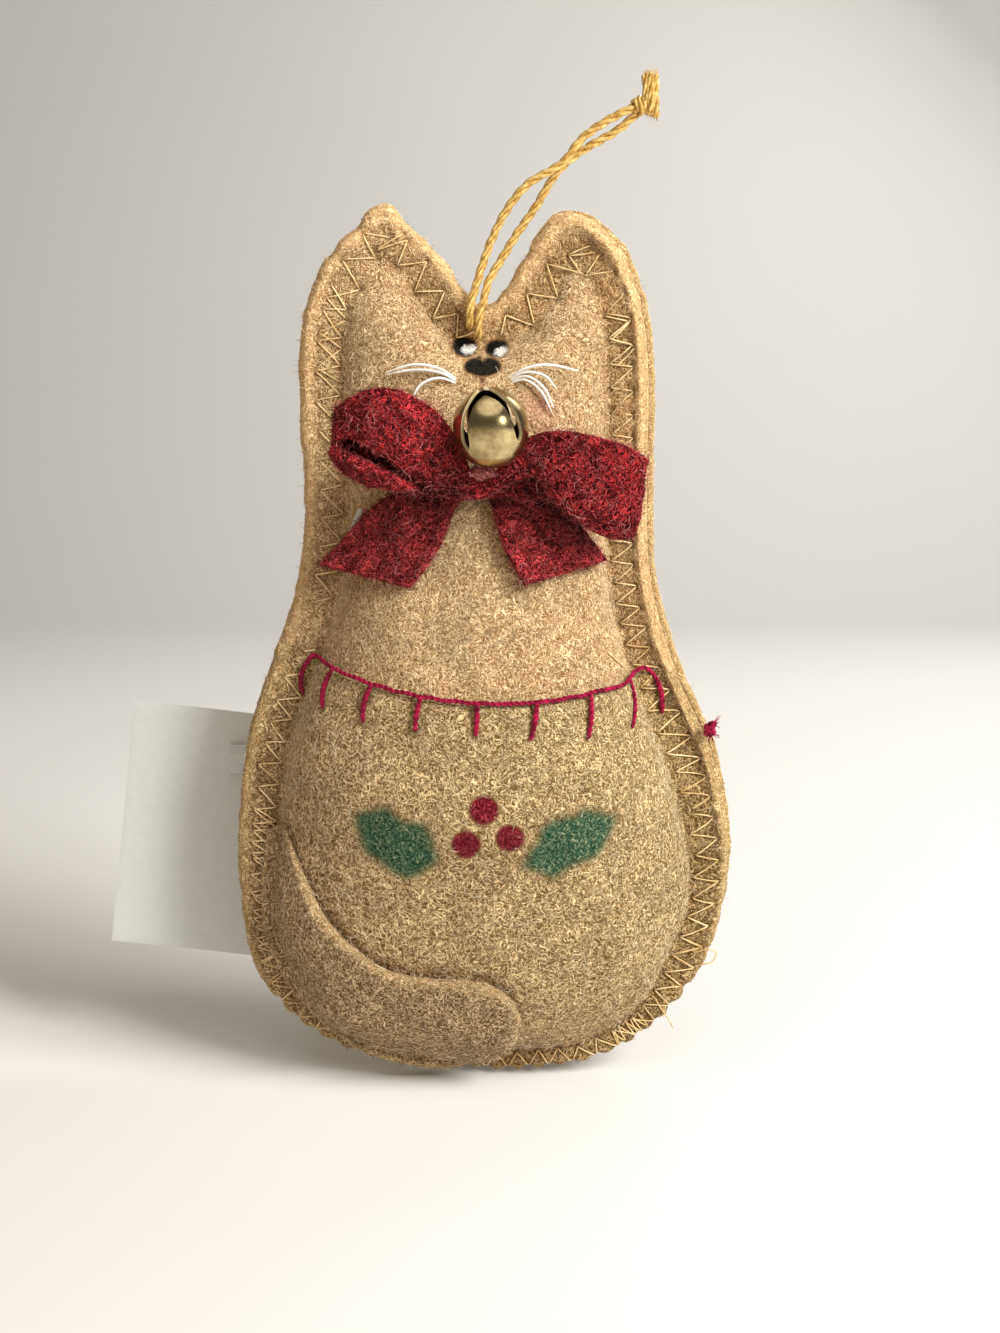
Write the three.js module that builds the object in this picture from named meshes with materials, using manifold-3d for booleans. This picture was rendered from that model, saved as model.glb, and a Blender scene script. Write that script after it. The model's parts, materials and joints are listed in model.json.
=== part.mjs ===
// A stuffed felt cat ornament with a bow, a jingle bell, a hanging cord and a swing tag.
// Millimetres, +Z up, the cat faces -Y, origin where the hanging cord meets the felt.
import * as THREE from 'three';
import { mergeVertices } from 'three/addons/utils/BufferGeometryUtils.js';
import Module from 'manifold-3d';

const wasm = await Module();
wasm.setup();

// Felt body
const feltThickness = 2;
const seatGap = 0.3; // air between two pieces that rest on each other
const rollInset = 1.5; // rim to the line where it rolls forward
const stitchInset = 2.2; // rim to the outer needle holes
const stitchWidth = 3.3; // from the outer needle holes to the inner ones
const seamInset = 6; // rim to where the stuffing begins
const frontCrown = 11.5; // how far the stuffing pushes out the front
const backCrown = 8; // and the back
const crownSoftness = 5; // larger rounds the foot of the swelling
const rimCurl = 38; // degrees that the right rim rolls forward
const curlFades = [0.2, 0.36, 0.8, 0.95]; // shares of the way down where the roll starts and stops
const notch = [0, 1.6];
const base = [-1.5, -110.4];
const rightEdge = [
  notch, [2.6, 3], [6, 8], [9, 12.8], [11.4, 14.7], [15, 14.6], [19.4, 12], [22.2, 7.8], [24.4, 1],
  [25.3, -8.5], [25.3, -22], [25.7, -34], [27.3, -42.5], [30.4, -51.4], [33.9, -60.8], [36, -71],
  [36.1, -79.5], [34.7, -88], [31, -97], [24.6, -104.4], [15.5, -109.2], [6, -110.7], base,
];
const leftEdge = [
  notch, [-2.4, 4], [-5.2, 8.6], [-9.2, 12.7], [-12.6, 15.4], [-15.4, 15.2], [-19.2, 11.8], [-23.2, 5.2],
  [-25.2, -3.5], [-25.3, -14], [-24.9, -28], [-26.3, -37.5], [-29.6, -47.5], [-33.4, -58.7],
  [-35.2, -71], [-35.3, -82.5], [-33.4, -94], [-28, -101.8], [-18.5, -107.9], [-8, -110.2], base,
];
const rightTip = 4.5; // places along the edge lists, counted in points
const rightCheek = 9;
const leftTip = 4.5;
const leftCheek = 8.5;
const earMiddle = [14, 6]; // deepest point of the right ear; the left one mirrors it
const neckTop = [0, -10];
const spineEnd = [0, -84];

// Belly panel, laid over the chest panel's lower end
const bellyEdgeLow = -52.4;
const bellyEdgeMiddle = 4;
const bellyEdgeBend = 0.0066;
const panelOverlap = 8;
const overlapFade = [6, 20]; // below the overlap, where the belly settles back

// Machine zigzag round the rim
const seamThread = 0.36;
const seamRise = 0.6; // air under the thread between its needle holes
const stitchPitch = 3.4;
const seamStart = 0.395; // share of the way round, clockwise from the notch

// Hand blanket stitch on the belly panel's edge
const yarnThickness = 0.9;
const yarnRise = 0.75; // air under the yarn
const yarnDrop = 1; // centre of the edge yarn below the felt's edge
// Each leg's place along the edge, and its length
const blanketLegs = [
  [-23, 4.5], [-19.8, 5.6], [-15, 5.8], [-8.2, 5.7], [-0.4, 5.7],
  [8, 6.2], [15.3, 6.8], [20.6, 6.4], [23.4, 5.6],
];
const yarnKnot = { share: 0.2656, radius: 1.1, length: 3.2, turn: -12 }; // share of the way round the rim

// Bow
const bowThickness = 1.4;
const bowSeat = [0, -23];
// Rows of the tails: x, stand-off from the felt, z; rows of the loops: x, forward of the bow's seat, z
const bowTailRows = [
  [[-22.7, 5, -33.9], [-10.1, 1.4, -36.8]],
  [[-18.4, 4.6, -30], [-6.5, 1.6, -32.7]],
  [[-13.5, 2.8, -25.6], [-4.7, 1.4, -29.3]],
  [[-8.1, 1.6, -24], [-3.2, 1.2, -26.5]],
  [[-0.4, 1.2, -22.2], [-0.4, 1.2, -24.8]],
  [[5.4, 1.4, -21.8], [2, 1.2, -27]],
  [[10.9, 1.8, -25.5], [3.4, 1.2, -31]],
  [[14.6, 2.8, -28.8], [4.6, 1.4, -34.1]],
  [[18.2, 4, -33], [5.6, 1.8, -36.1]],
];
const bowLoopRows = [
  [[-1.1, -3.1, -22.3], [-1.1, -3.1, -23.9]],
  [[-6, -3.3, -15.6], [-6.8, -3.3, -24.4]],
  [[-11.5, -3.4, -12.8], [-11.8, -3.3, -24.4]],
  [[-16.2, -3.8, -11.6], [-16.6, -3.4, -22.5]],
  [[-19.3, -6, -13.4], [-19.5, -5.4, -19.4]],
  [[-16.8, -8.6, -10.6], [-15.6, -8, -18.8]],
  [[-13, -9.2, -9.7], [-11.3, -9, -20.7]],
  [[-8.5, -8.2, -10.6], [-6.9, -8.4, -22.8]],
  [[-5, -6.8, -14.6], [-3.9, -7, -23.4]],
  [[0, -5.7, -22.3], [0, -5.7, -24]],
  [[7.4, -6.4, -16.4], [5, -6.4, -22.6]],
  [[11, -7, -15.1], [10, -7, -24.9]],
  [[16, -6.4, -16.3], [14.3, -6.2, -28.2]],
  [[20.4, -5.6, -17.6], [17.6, -5.4, -29.3]],
  [[22.6, -4.2, -19.2], [20, -4, -29.6]],
  [[20, -2.8, -18.4], [17.5, -2.8, -28.6]],
  [[15.6, -3, -17.2], [14, -3, -27.2]],
  [[10.4, -3.2, -16.6], [9.8, -3.2, -24.4]],
  [[1.1, -3.1, -22.3], [1.1, -3.1, -23.9]],
];

// Jingle bell
const bellDiameter = 10;
const bellWall = 0.5;
const bellSlot = 0.8;
const bellSlotDepth = 6.6; // from the open end
const bellMouth = 2.2;
const bellPlace = [1.6, -14.6];
const bellStand = 8; // centre of the bell in front of the bow's seat
const bellTilt = 16; // degrees, the open end leaning towards the viewer
const pelletDiameter = 3;
const gluePad = [4.2, 3.4, 2.2];
const glueSetBack = 0.8; // its middle behind the bell's

// Tail
const tailClearance = 1; // over the belly and its stitches
const tailRows = [
  [[-26.7, -73.2], [-29, -74.2]],
  [[-25.6, -77.5], [-30.2, -79.3]],
  [[-24.3, -80.5], [-30.6, -83.8]],
  [[-22.4, -83.9], [-30, -88.6]],
  [[-18.7, -87.8], [-27.6, -94.6]],
  [[-14, -91], [-23.4, -101]],
  [[-9.6, -92.2], [-17.2, -105.6]],
  [[-4.2, -92.5], [-10, -107.4]],
  [[1.2, -93.2], [-3.5, -107.3]],
  [[4.4, -95.8], [1.6, -105.2]],
  [[5.7, -98.8], [4.9, -102]],
];

// Whiskers: along the face, each point gives x, stand-off from the felt, z
const whiskerThickness = 0.4;
const whiskers = {
  whisker_left_top: [[-2.8, 0, -8.2], [-5.9, 1, -6.4], [-9.2, 1.2, -6], [-12.7, 0.8, -6.9]],
  whisker_left_middle: [[-2.8, 0, -8.9], [-5.4, 0.6, -7.6], [-8.8, 0.8, -7.2], [-12.3, 0.5, -7.8]],
  whisker_left_low: [[-2.8, 0, -9.6], [-5.9, 0.8, -8.2], [-8.4, 0.9, -9.1], [-9.3, 0.4, -10.9]],
  whisker_right_top: [[3.4, 0, -8.2], [6.5, 1, -6.5], [9.3, 1.2, -6.2], [13.7, 0.8, -7]],
  whisker_right_upper: [[3.6, 0, -8.9], [6.5, 0.6, -7.4], [9.1, 0.8, -8], [10.6, 0.5, -9.7]],
  whisker_right_lower: [[3.6, 0, -9.6], [6.6, 0.8, -8.3], [8.5, 0.9, -9.5], [10, 0.4, -11.9]],
  whisker_right_low: [[3.5, 0, -10.3], [6.3, 0.6, -9.2], [8, 0.8, -10.5], [9.2, 0.4, -12.9]],
};

// Hanging cord: two strands drawn through the felt below the notch and knotted together
const cordThickness = 0.9;
const cordHoleSpare = 0.5;
const cordHoles = [[-1.4, -0.9], [-0.3, -2.4]];
const stitchFromCord = 2.6; // the zigzag keeps to its inner line this near to a cord hole
const cordBackLoop = 0.75; // centre of the cord behind the back felt
const cordFrontLoop = 1.1; // and before the front felt
const leftStrand = [
  [-1.2, -3, 2.4], [-0.4, -2.5, 5], [0.4, -2.1, 7.6], [2, -1.8, 11.7], [4.2, -1.6, 15.7], [6.8, -1.5, 18.6],
  [10.3, -1.4, 20.6], [11.9, -1.3, 21.8], [14, -1, 24.5], [17.3, -0.8, 26.9], [21.1, -0.5, 28.9],
];
const rightStrand = [
  [0, -3.2, 0.6], [0.6, -2.6, 2.8], [1.2, -1.6, 5.2], [3.1, -0.7, 8.5], [5.2, -0.3, 11.9], [7.7, 0, 15.4],
  [9.8, 0.1, 18.9], [11.3, 0.1, 20.9], [13.4, 0.1, 22.6], [16, 0.1, 24.2], [18.9, 0.2, 25.8],
  [21.7, 0.35, 28.1],
];
const knotPlace = [22.6, -0.1, 29.4];
const knotSize = 2.6;
const knotEnds = [
  [[22.9, -0.3, 30], [23.4, -0.4, 31.6], [23.3, -0.5, 33.4]],
  [[22.7, 0.3, 30], [24.2, 0.5, 31.2], [24.9, 0.6, 32.8]],
];

// Swing tag and its plastic fastener
const tagSize = [38, 38];
const tagThickness = 0.4;
const tagHole = { x: -34.7, z: -65.3, radius: 1.5, drop: 6.8 };
const tagTurn = 7; // degrees that it hangs out of level
const tagClearance = 1.6; // behind the fullest part of the back
const fastenerEntry = [-17.6, -28.6];
const filamentThickness = 0.7;
const fastenerHole = 1.5;
const fastenerBar = { length: 6.2, thickness: 1, turn: 21, stand: 1.4 };
const fastenerPaddle = [6.5, 0.7, 4.4];
const paddleShift = -0.6; // its middle, to the left of the tag's hole
// Filament behind the body, between its exit and the tag: x and z from the exit, y from the tag's back
const filamentRoute = [
  [-0.6, -1.6, -0.8], [-2.4, 1.3, -4], [-7, 1.9, -14], [-13, 1.9, -26], [-15.9, 1.3, -33.7],
];

// Mesh fineness
const earSpokes = 4;
const bodySpokes = 22;
const sideSpokes = 2 * earSpokes + bodySpokes;
const domeSteps = [0.16, 0.42, 0.72]; // rings over the swelling, as shares of the way to the middle line
const reliefCell = 1;
const furthest = 0.8; // no inset reaches further than this share of a spoke

// Closed geometry from corner points and triangles, turned so that its faces point out
function closedGeometry(points, triangles) {
  const geometry = new THREE.BufferGeometry();
  const places = points.flatMap((p) => [p.x, p.y, p.z]);
  geometry.setAttribute('position', new THREE.Float32BufferAttribute(places, 3));
  geometry.setIndex(triangles.flat());
  const merged = mergeVertices(geometry, 1e-4);
  const place = merged.attributes.position;
  const kept = [];
  let volume = 0;
  const [a, b, c] = [new THREE.Vector3(), new THREE.Vector3(), new THREE.Vector3()];
  for (let i = 0; i < merged.index.count; i += 3) {
    const corner = [0, 1, 2].map((k) => merged.index.getX(i + k));
    if (new Set(corner).size < 3) continue;
    kept.push(corner);
    a.fromBufferAttribute(place, corner[0]);
    b.fromBufferAttribute(place, corner[1]);
    c.fromBufferAttribute(place, corner[2]);
    volume += a.dot(b.cross(c));
  }
  merged.setIndex(kept.flatMap((t) => (volume < 0 ? [t[0], t[2], t[1]] : t)));
  return merged;
}

function toSolid(geometry) {
  const bare = geometry.clone();
  bare.deleteAttribute('normal');
  bare.deleteAttribute('uv');
  const merged = mergeVertices(bare, 1e-4);
  const vertProperties = new Float32Array(merged.attributes.position.array);
  const triVerts = new Uint32Array(merged.index.array);
  return new wasm.Manifold(new wasm.Mesh({ numProp: 3, vertProperties, triVerts }));
}

function toGeometry(solid) {
  const mesh = solid.getMesh();
  const geometry = new THREE.BufferGeometry();
  geometry.setAttribute('position', new THREE.BufferAttribute(mesh.vertProperties, 3));
  geometry.setIndex(new THREE.BufferAttribute(mesh.triVerts, 1));
  return geometry;
}

function joined(geometries) {
  return toGeometry(geometries.map(toSolid).reduce((whole, next) => whole.add(next)));
}

function cut(geometry, tools) {
  return toGeometry(tools.map(toSolid).reduce((whole, tool) => whole.subtract(tool), toSolid(geometry)));
}

// Round bar along a smooth line through the points
function tube(points, thickness, sides, steps) {
  const path = smoothLine(points);
  const section = new THREE.Shape().absarc(0, 0, thickness / 2, 0, 2 * Math.PI);
  const options = { extrudePath: path, steps, curveSegments: sides / 2, bevelEnabled: false };
  return new THREE.ExtrudeGeometry(section, options);
}

// Peg along Y, for holes through the felt
function crossPeg(x, z, diameter, length) {
  return new THREE.CylinderGeometry(diameter / 2, diameter / 2, length, 10).translate(x, 0, z);
}

const vector = ([x, y, z]) => new THREE.Vector3(x, y, z);

// The body's edge: share t of each list of points, as a smooth curve
const flat = ([x, z]) => new THREE.Vector3(x, 0, z);
const smoothLine = (points) => new THREE.CatmullRomCurve3(points, false, 'centripetal');
const edgeCurve = (points) => smoothLine(points.map(flat));
const side = (edge, tip, cheek, sign) => ({ curve: edgeCurve(edge), last: edge.length - 1, tip, cheek, sign });
const sides = {
  right: side(rightEdge, rightTip, rightCheek, 1),
  left: side(leftEdge, leftTip, leftCheek, -1),
};

// Spoke i of a side starts on the edge and ends on the middle line of the ear or the body
function spokeStart(side, i) {
  let at = side.cheek + ((i - 2 * earSpokes) / bodySpokes) * (side.last - side.cheek);
  if (i < earSpokes) at = (i / earSpokes) * side.tip;
  else if (i < 2 * earSpokes) at = side.tip + (i / earSpokes - 1) * (side.cheek - side.tip);
  return side.curve.getPoint(at / side.last);
}

function spokeEnd(side, i) {
  const neck = flat(neckTop);
  if (i >= 2 * earSpokes) return neck.lerp(flat(spineEnd), (i - 2 * earSpokes) / bodySpokes);
  const ear = flat([side.sign * earMiddle[0], earMiddle[1]]);
  return neck.lerp(ear, 1 - Math.abs(i / earSpokes - 1));
}

const edgeSamples = [];
for (let i = 0; i <= sideSpokes * 4; i += 1) edgeSamples.push(spokeStart(sides.right, i / 4));
for (let i = sideSpokes * 4 - 1; i > 0; i -= 1) edgeSamples.push(spokeStart(sides.left, i / 4));

// Distance in from the edge, negative outside it
function inset(x, z) {
  let nearest = Infinity;
  let inside = false;
  edgeSamples.forEach((p, k) => {
    const q = edgeSamples[(k + 1) % edgeSamples.length];
    const [ex, ez] = [q.x - p.x, q.z - p.z];
    const along = THREE.MathUtils.clamp(((x - p.x) * ex + (z - p.z) * ez) / (ex * ex + ez * ez), 0, 1);
    nearest = Math.min(nearest, Math.hypot(x - p.x - along * ex, z - p.z - along * ez));
    if (p.z > z !== q.z > z && x < p.x + ((z - p.z) / ez) * ex) inside = !inside;
  });
  return inside ? nearest : -nearest;
}

// Relief of a stuffed membrane held at the seam: 0 at the seam, 1 at the fullest point
function stuffedRelief() {
  const box = new THREE.Box3().setFromPoints(edgeSamples);
  const columns = Math.ceil((box.max.x - box.min.x) / reliefCell) + 1;
  const rows = Math.ceil((box.max.z - box.min.z) / reliefCell) + 1;
  const depth = new Float64Array(columns * rows);
  const free = new Uint8Array(columns * rows);
  for (let r = 0; r < rows; r += 1) {
    for (let c = 0; c < columns; c += 1) {
      const depthIn = inset(box.min.x + c * reliefCell, box.min.z + r * reliefCell);
      free[r * columns + c] = depthIn > seamInset + reliefCell ? 1 : 0;
    }
  }
  const sweeps = 400;
  const overRelax = 1.9;
  for (let sweep = 0; sweep < sweeps; sweep += 1) {
    for (let k = columns; k < depth.length - columns; k += 1) {
      if (!free[k]) continue;
      const around = depth[k - 1] + depth[k + 1] + depth[k - columns] + depth[k + columns];
      depth[k] += overRelax * ((around + reliefCell ** 2) / 4 - depth[k]);
    }
  }
  const swell = depth.map((u) => Math.sqrt(2 * u + crownSoftness ** 2) - crownSoftness);
  const fullest = swell.reduce((most, u) => Math.max(most, u), 0);
  return (x, z) => {
    const fx = THREE.MathUtils.clamp((x - box.min.x) / reliefCell, 0, columns - 1.001);
    const fz = THREE.MathUtils.clamp((z - box.min.z) / reliefCell, 0, rows - 1.001);
    const k = Math.floor(fz) * columns + Math.floor(fx);
    const [u, v] = [fx % 1, fz % 1];
    const low = swell[k] * (1 - u) + swell[k + 1] * u;
    const high = swell[k + columns] * (1 - u) + swell[k + columns + 1] * u;
    return (low * (1 - v) + high * v) / fullest;
  };
}
const relief = stuffedRelief();

// Point on a spoke at a given distance in from the edge
function insetPoint(side, i, distance) {
  const start = spokeStart(side, i);
  const end = spokeEnd(side, i);
  const steps = 60;
  for (let k = 1; k <= steps; k += 1) {
    const point = start.clone().lerp(end, (k / steps) * furthest);
    if (inset(point.x, point.z) >= distance) return point;
  }
  return start.lerp(end, furthest);
}

// Rings of every spoke, from the rim to the middle line, clockwise from the notch
function spokeRings(side, i) {
  const roll = insetPoint(side, i, rollInset);
  const seam = insetPoint(side, i, seamInset);
  const end = spokeEnd(side, i);
  const dome = domeSteps.map((share) => seam.clone().lerp(end, share));
  return [spokeStart(side, i), roll, seam, ...dome, end];
}
const spokes = [];
const addSpoke = (side, i) => spokes.push({ side, i, rings: spokeRings(side, i) });
for (let i = 0; i <= sideSpokes; i += 1) addSpoke(sides.right, i);
for (let i = sideSpokes - 1; i > 0; i -= 1) addSpoke(sides.left, i);

// How far the rim rolls forward at a spoke: the right side only, fading out at the ear and the base
function curlAngle(spoke) {
  if (spoke.side.sign < 0) return 0;
  const down = spoke.i / sideSpokes;
  const starts = THREE.MathUtils.smoothstep(down, curlFades[0], curlFades[1]);
  const stops = THREE.MathUtils.smoothstep(down, curlFades[2], curlFades[3]);
  return THREE.MathUtils.degToRad(rimCurl) * starts * (1 - stops);
}

// A point of the rim at depth y, moved out by extra and rolled about the line at rollInset
function rolledRim(rim, pivot, y, angle, extra = 0) {
  const out = rim.clone().sub(pivot);
  const reach = out.length() + extra;
  const along = reach * Math.cos(angle) + y * Math.sin(angle);
  const place = pivot.clone().addScaledVector(out.normalize(), along);
  return place.setY(y * Math.cos(angle) - reach * Math.sin(angle));
}

// Place of ring r of a spoke on a surface given as y over x and z, with the rim rolled
function ringPlace(spoke, r, surface) {
  const at = spoke.rings[r];
  const y = surface(at.x, at.z);
  if (r > 0) return new THREE.Vector3(at.x, y, at.z);
  return rolledRim(at, spoke.rings[1], y, curlAngle(spoke));
}

// Solid between two surfaces over the body's outline, from ring firstRing inwards
function bodyLayer(frontSurface, backSurface, firstRing) {
  const ringCount = spokes[0].rings.length - firstRing;
  const points = [];
  for (const surface of [frontSurface, backSurface]) {
    for (const spoke of spokes) {
      for (let r = 0; r < ringCount; r += 1) points.push(ringPlace(spoke, firstRing + r, surface));
    }
  }
  const backStart = spokes.length * ringCount;
  const triangles = [];
  for (let s = 0; s < spokes.length; s += 1) {
    const a = s * ringCount;
    const b = ((s + 1) % spokes.length) * ringCount;
    for (let r = 0; r + 1 < ringCount; r += 1) {
      triangles.push([a + r, a + r + 1, b + r + 1], [a + r, b + r + 1, b + r]);
      const [c, d] = [a + backStart, b + backStart];
      triangles.push([c + r, d + r + 1, c + r + 1], [c + r, d + r, d + r + 1]);
    }
    triangles.push([a, b, b + backStart], [a, b + backStart, a + backStart]);
  }
  return closedGeometry(points, triangles);
}

// Surfaces of the felt layers, as y over x and z
const halfGap = seatGap / 2;
const chestInner = (x, z) => -(halfGap + frontCrown * relief(x, z));
const chestOuter = (x, z) => chestInner(x, z) - feltThickness;
const backInner = (x, z) => halfGap + backCrown * relief(x, z);
const backOuter = (x, z) => backInner(x, z) + feltThickness;
const bellyEdge = (x) => bellyEdgeLow + bellyEdgeBend * (x - bellyEdgeMiddle) ** 2;
function bellyLift(x, z) {
  const below = bellyEdge(x) - z - panelOverlap;
  return (feltThickness + seatGap) * (1 - THREE.MathUtils.smoothstep(below, overlapFade[0], overlapFade[1]));
}
const bellyInner = (x, z) => chestInner(x, z) - bellyLift(x, z);
const bellyOuter = (x, z) => bellyInner(x, z) - feltThickness;
const frontFace = (x, z) => (z > bellyEdge(x) ? chestOuter(x, z) : bellyOuter(x, z));
// The front seam thread climbs on to the belly panel a stitch above its edge
const frontSeamFace = (x, z) => (z > bellyEdge(x) + stitchPitch ? chestOuter(x, z) : bellyOuter(x, z));

// Block below the belly panel's edge line, shifted down by drop
function belowEdgeBlock(drop) {
  const reach = 60;
  const edgeSteps = 16;
  const shape = new THREE.Shape();
  shape.moveTo(-reach, spineEnd[1] - reach);
  shape.lineTo(reach, spineEnd[1] - reach);
  for (let k = 0; k <= edgeSteps; k += 1) {
    const x = reach - (2 * reach * k) / edgeSteps;
    shape.lineTo(x, bellyEdge(x) - drop);
  }
  const block = new THREE.ExtrudeGeometry(shape, { depth: 2 * reach, bevelEnabled: false });
  return block.rotateX(Math.PI / 2).translate(0, reach, 0);
}

const through = 4 * (frontCrown + backCrown);
const cordPegs = cordHoles.map(([x, z]) => crossPeg(x, z, cordThickness + cordHoleSpare, through));
const fastenerPeg = crossPeg(fastenerEntry[0], fastenerEntry[1], fastenerHole, through);

function chestPanel() {
  const whole = bodyLayer(chestOuter, chestInner, 0);
  return cut(whole, [belowEdgeBlock(panelOverlap), ...cordPegs, fastenerPeg]);
}

function bellyPanel() {
  const whole = bodyLayer(bellyOuter, bellyInner, 0);
  return toGeometry(toSolid(whole).intersect(toSolid(belowEdgeBlock(0))));
}

function backPanel() {
  return cut(bodyLayer(backInner, backOuter, 0), [...cordPegs, fastenerPeg]);
}

function stuffing() {
  const front = (x, z) => chestInner(x, z) + seatGap + halfGap;
  const back = (x, z) => backInner(x, z) - seatGap - halfGap;
  const firstDomeRing = 3;
  return cut(bodyLayer(front, back, firstDomeRing), [fastenerPeg]);
}

// Point a share t of the way round the body, a given distance in from the rim
function rimPoint(t, distance) {
  const at = (((t % 1) + 1) % 1) * 2 * sideSpokes;
  if (at <= sideSpokes) return insetPoint(sides.right, at, distance);
  return insetPoint(sides.left, 2 * sideSpokes - at, distance);
}

// Corners of the zigzag: shares of the way round at equal steps along the seam
function stitchShares() {
  const samples = 360;
  const lengths = [0];
  const middle = stitchInset + stitchWidth / 2;
  let last = rimPoint(seamStart, middle);
  for (let k = 1; k <= samples; k += 1) {
    const next = rimPoint(seamStart + k / samples, middle);
    lengths.push(lengths[k - 1] + next.distanceTo(last));
    last = next;
  }
  const corners = 2 * Math.round(lengths[samples] / stitchPitch) - 1;
  const shares = [];
  for (let c = 0; c < corners; c += 1) {
    const length = ((c + 0.5) / corners) * lengths[samples];
    const k = lengths.findIndex((l) => l > length);
    const part = (length - lengths[k - 1]) / (lengths[k] - lengths[k - 1]);
    shares.push(seamStart + (k - 1 + part) / samples);
  }
  return shares;
}

// One zigzag thread lying on a face of the felt; outward is -1 on the front and 1 on the back
function zigzag(surface, outward) {
  const half = seamThread / 2;
  const points = [];
  for (const [c, share] of stitchShares().entries()) {
    const outer = rimPoint(share, stitchInset);
    const inner = rimPoint(share, stitchInset + stitchWidth);
    const across = outer.clone().sub(inner).normalize();
    const nearCord = cordHoles.some(([x, z]) => Math.hypot(outer.x - x, outer.z - z) < stitchFromCord);
    const at = c % 2 && !nearCord ? outer : inner;
    const side = across.multiplyScalar(half * Math.hypot(1, (2 * stitchWidth) / stitchPitch));
    const y = surface(at.x, at.z) + outward * seamRise;
    const top = y + outward * seamThread;
    points.push(at.clone().setY(y).add(side), at.clone().setY(y).sub(side), at.clone().setY(top));
  }
  const last = points.length - 3;
  const triangles = [[0, 1, 2], [last, last + 2, last + 1]];
  for (let c = 0; c < last; c += 3) {
    for (let k = 0; k < 3; k += 1) {
      const next = (k + 1) % 3;
      triangles.push([c + k, c + 3 + k, c + 3 + next], [c + k, c + 3 + next, c + next]);
    }
  }
  return closedGeometry(points, triangles);
}

// Yarn along the belly panel's edge, with a leg down from it at each stitch
function blanketStitch() {
  const stand = (x, z) => bellyOuter(x, z) - yarnRise - yarnThickness / 2;
  const edgePoint = (x, drop) => {
    const z = bellyEdge(x) - yarnDrop - drop;
    return new THREE.Vector3(x, stand(x, z), z);
  };
  const yarnSides = 6;
  const first = blanketLegs[0][0];
  const last = blanketLegs[blanketLegs.length - 1][0];
  const edgeSteps = 20;
  const edgePoints = [];
  for (let k = 0; k <= edgeSteps; k += 1) {
    edgePoints.push(edgePoint(THREE.MathUtils.lerp(first, last, k / edgeSteps), 0));
  }
  const bars = [tube(edgePoints, yarnThickness, yarnSides, edgeSteps)];
  for (const [x, length] of blanketLegs) {
    bars.push(tube([0, 0.5, 1].map((share) => edgePoint(x, share * length)), yarnThickness, yarnSides, 3));
  }
  return joined(bars);
}

// Knot at the end of the yarn, on the cut edge of the rim
function stitchKnot() {
  const i = yarnKnot.share * 2 * sideSpokes;
  const angle = curlAngle({ side: sides.right, i });
  const rim = spokeStart(sides.right, i);
  const stand = yarnKnot.radius + seatGap;
  const at = rolledRim(rim, insetPoint(sides.right, i, rollInset), -feltThickness / 2, angle, stand);
  const knot = new THREE.SphereGeometry(yarnKnot.radius, 8, 6);
  knot.scale(1, 1, yarnKnot.length / 2 / yarnKnot.radius);
  return knot.rotateY(THREE.MathUtils.degToRad(yarnKnot.turn)).translate(at.x, at.y, at.z);
}

// Strip of felt through rows of cross lines, each from one long edge to the other, laid down by settle
function strip(rows, steps, columns, thickness, settle = (point) => point) {
  const edges = [0, 1].map((e) => smoothLine(rows.map((row) => row[e])));
  const grid = [];
  for (let k = 0; k <= steps; k += 1) {
    const [a, b] = edges.map((edge) => edge.getPoint(k / steps));
    const cells = Array.from({ length: columns + 1 }, (_, c) => a.clone().lerp(b, c / columns));
    grid.push(cells.map(settle));
  }
  return sheet(grid, thickness);
}

// Felt of even thickness about a grid of points
function sheet(grid, thickness) {
  const [rowCount, columnCount] = [grid.length, grid[0].length];
  const points = [];
  for (const face of [1, -1]) {
    for (let r = 0; r < rowCount; r += 1) {
      for (let c = 0; c < columnCount; c += 1) {
        const along = grid[Math.min(r + 1, rowCount - 1)][c].clone().sub(grid[Math.max(r - 1, 0)][c]);
        const across = grid[r][Math.min(c + 1, columnCount - 1)].clone().sub(grid[r][Math.max(c - 1, 0)]);
        const normal = along.cross(across).normalize();
        points.push(grid[r][c].clone().addScaledVector(normal, (face * thickness) / 2));
      }
    }
  }
  const triangles = [];
  const under = rowCount * columnCount;
  const quad = (a, b, c, d) => triangles.push([a, b, c], [a, c, d]);
  for (let r = 0; r + 1 < rowCount; r += 1) {
    for (let c = 0; c + 1 < columnCount; c += 1) {
      const k = r * columnCount + c;
      quad(k, k + columnCount, k + columnCount + 1, k + 1);
      quad(under + k, under + k + 1, under + k + columnCount + 1, under + k + columnCount);
    }
    const [left, right] = [r * columnCount, (r + 1) * columnCount - 1];
    quad(left, under + left, under + left + columnCount, left + columnCount);
    quad(right, right + columnCount, under + right + columnCount, under + right);
  }
  const end = (rowCount - 1) * columnCount;
  for (let c = 0; c + 1 < columnCount; c += 1) {
    quad(c, c + 1, under + c + 1, under + c);
    quad(end + c, under + end + c, under + end + c + 1, end + c + 1);
  }
  return closedGeometry(points, triangles);
}

const bowSeatY = chestOuter(bowSeat[0], bowSeat[1]);
const onChest = ([x, stand, z]) => new THREE.Vector3(x, chestOuter(x, z) - stand, z);
const onBow = ([x, forward, z]) => new THREE.Vector3(x, bowSeatY + forward, z);
const bowStrip = (rows, lie, steps) => strip(rows.map((row) => row.map(lie)), steps, 3, bowThickness);

// Felt tail lying on the belly, its rows running from the root to the tip
function tail() {
  const stand = seamRise + seamThread + tailClearance + feltThickness / 2;
  const settle = (point) => point.setY(frontFace(point.x, point.z) - stand);
  return strip(tailRows.map((row) => row.map(flat)), 24, 5, feltThickness, settle);
}

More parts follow.
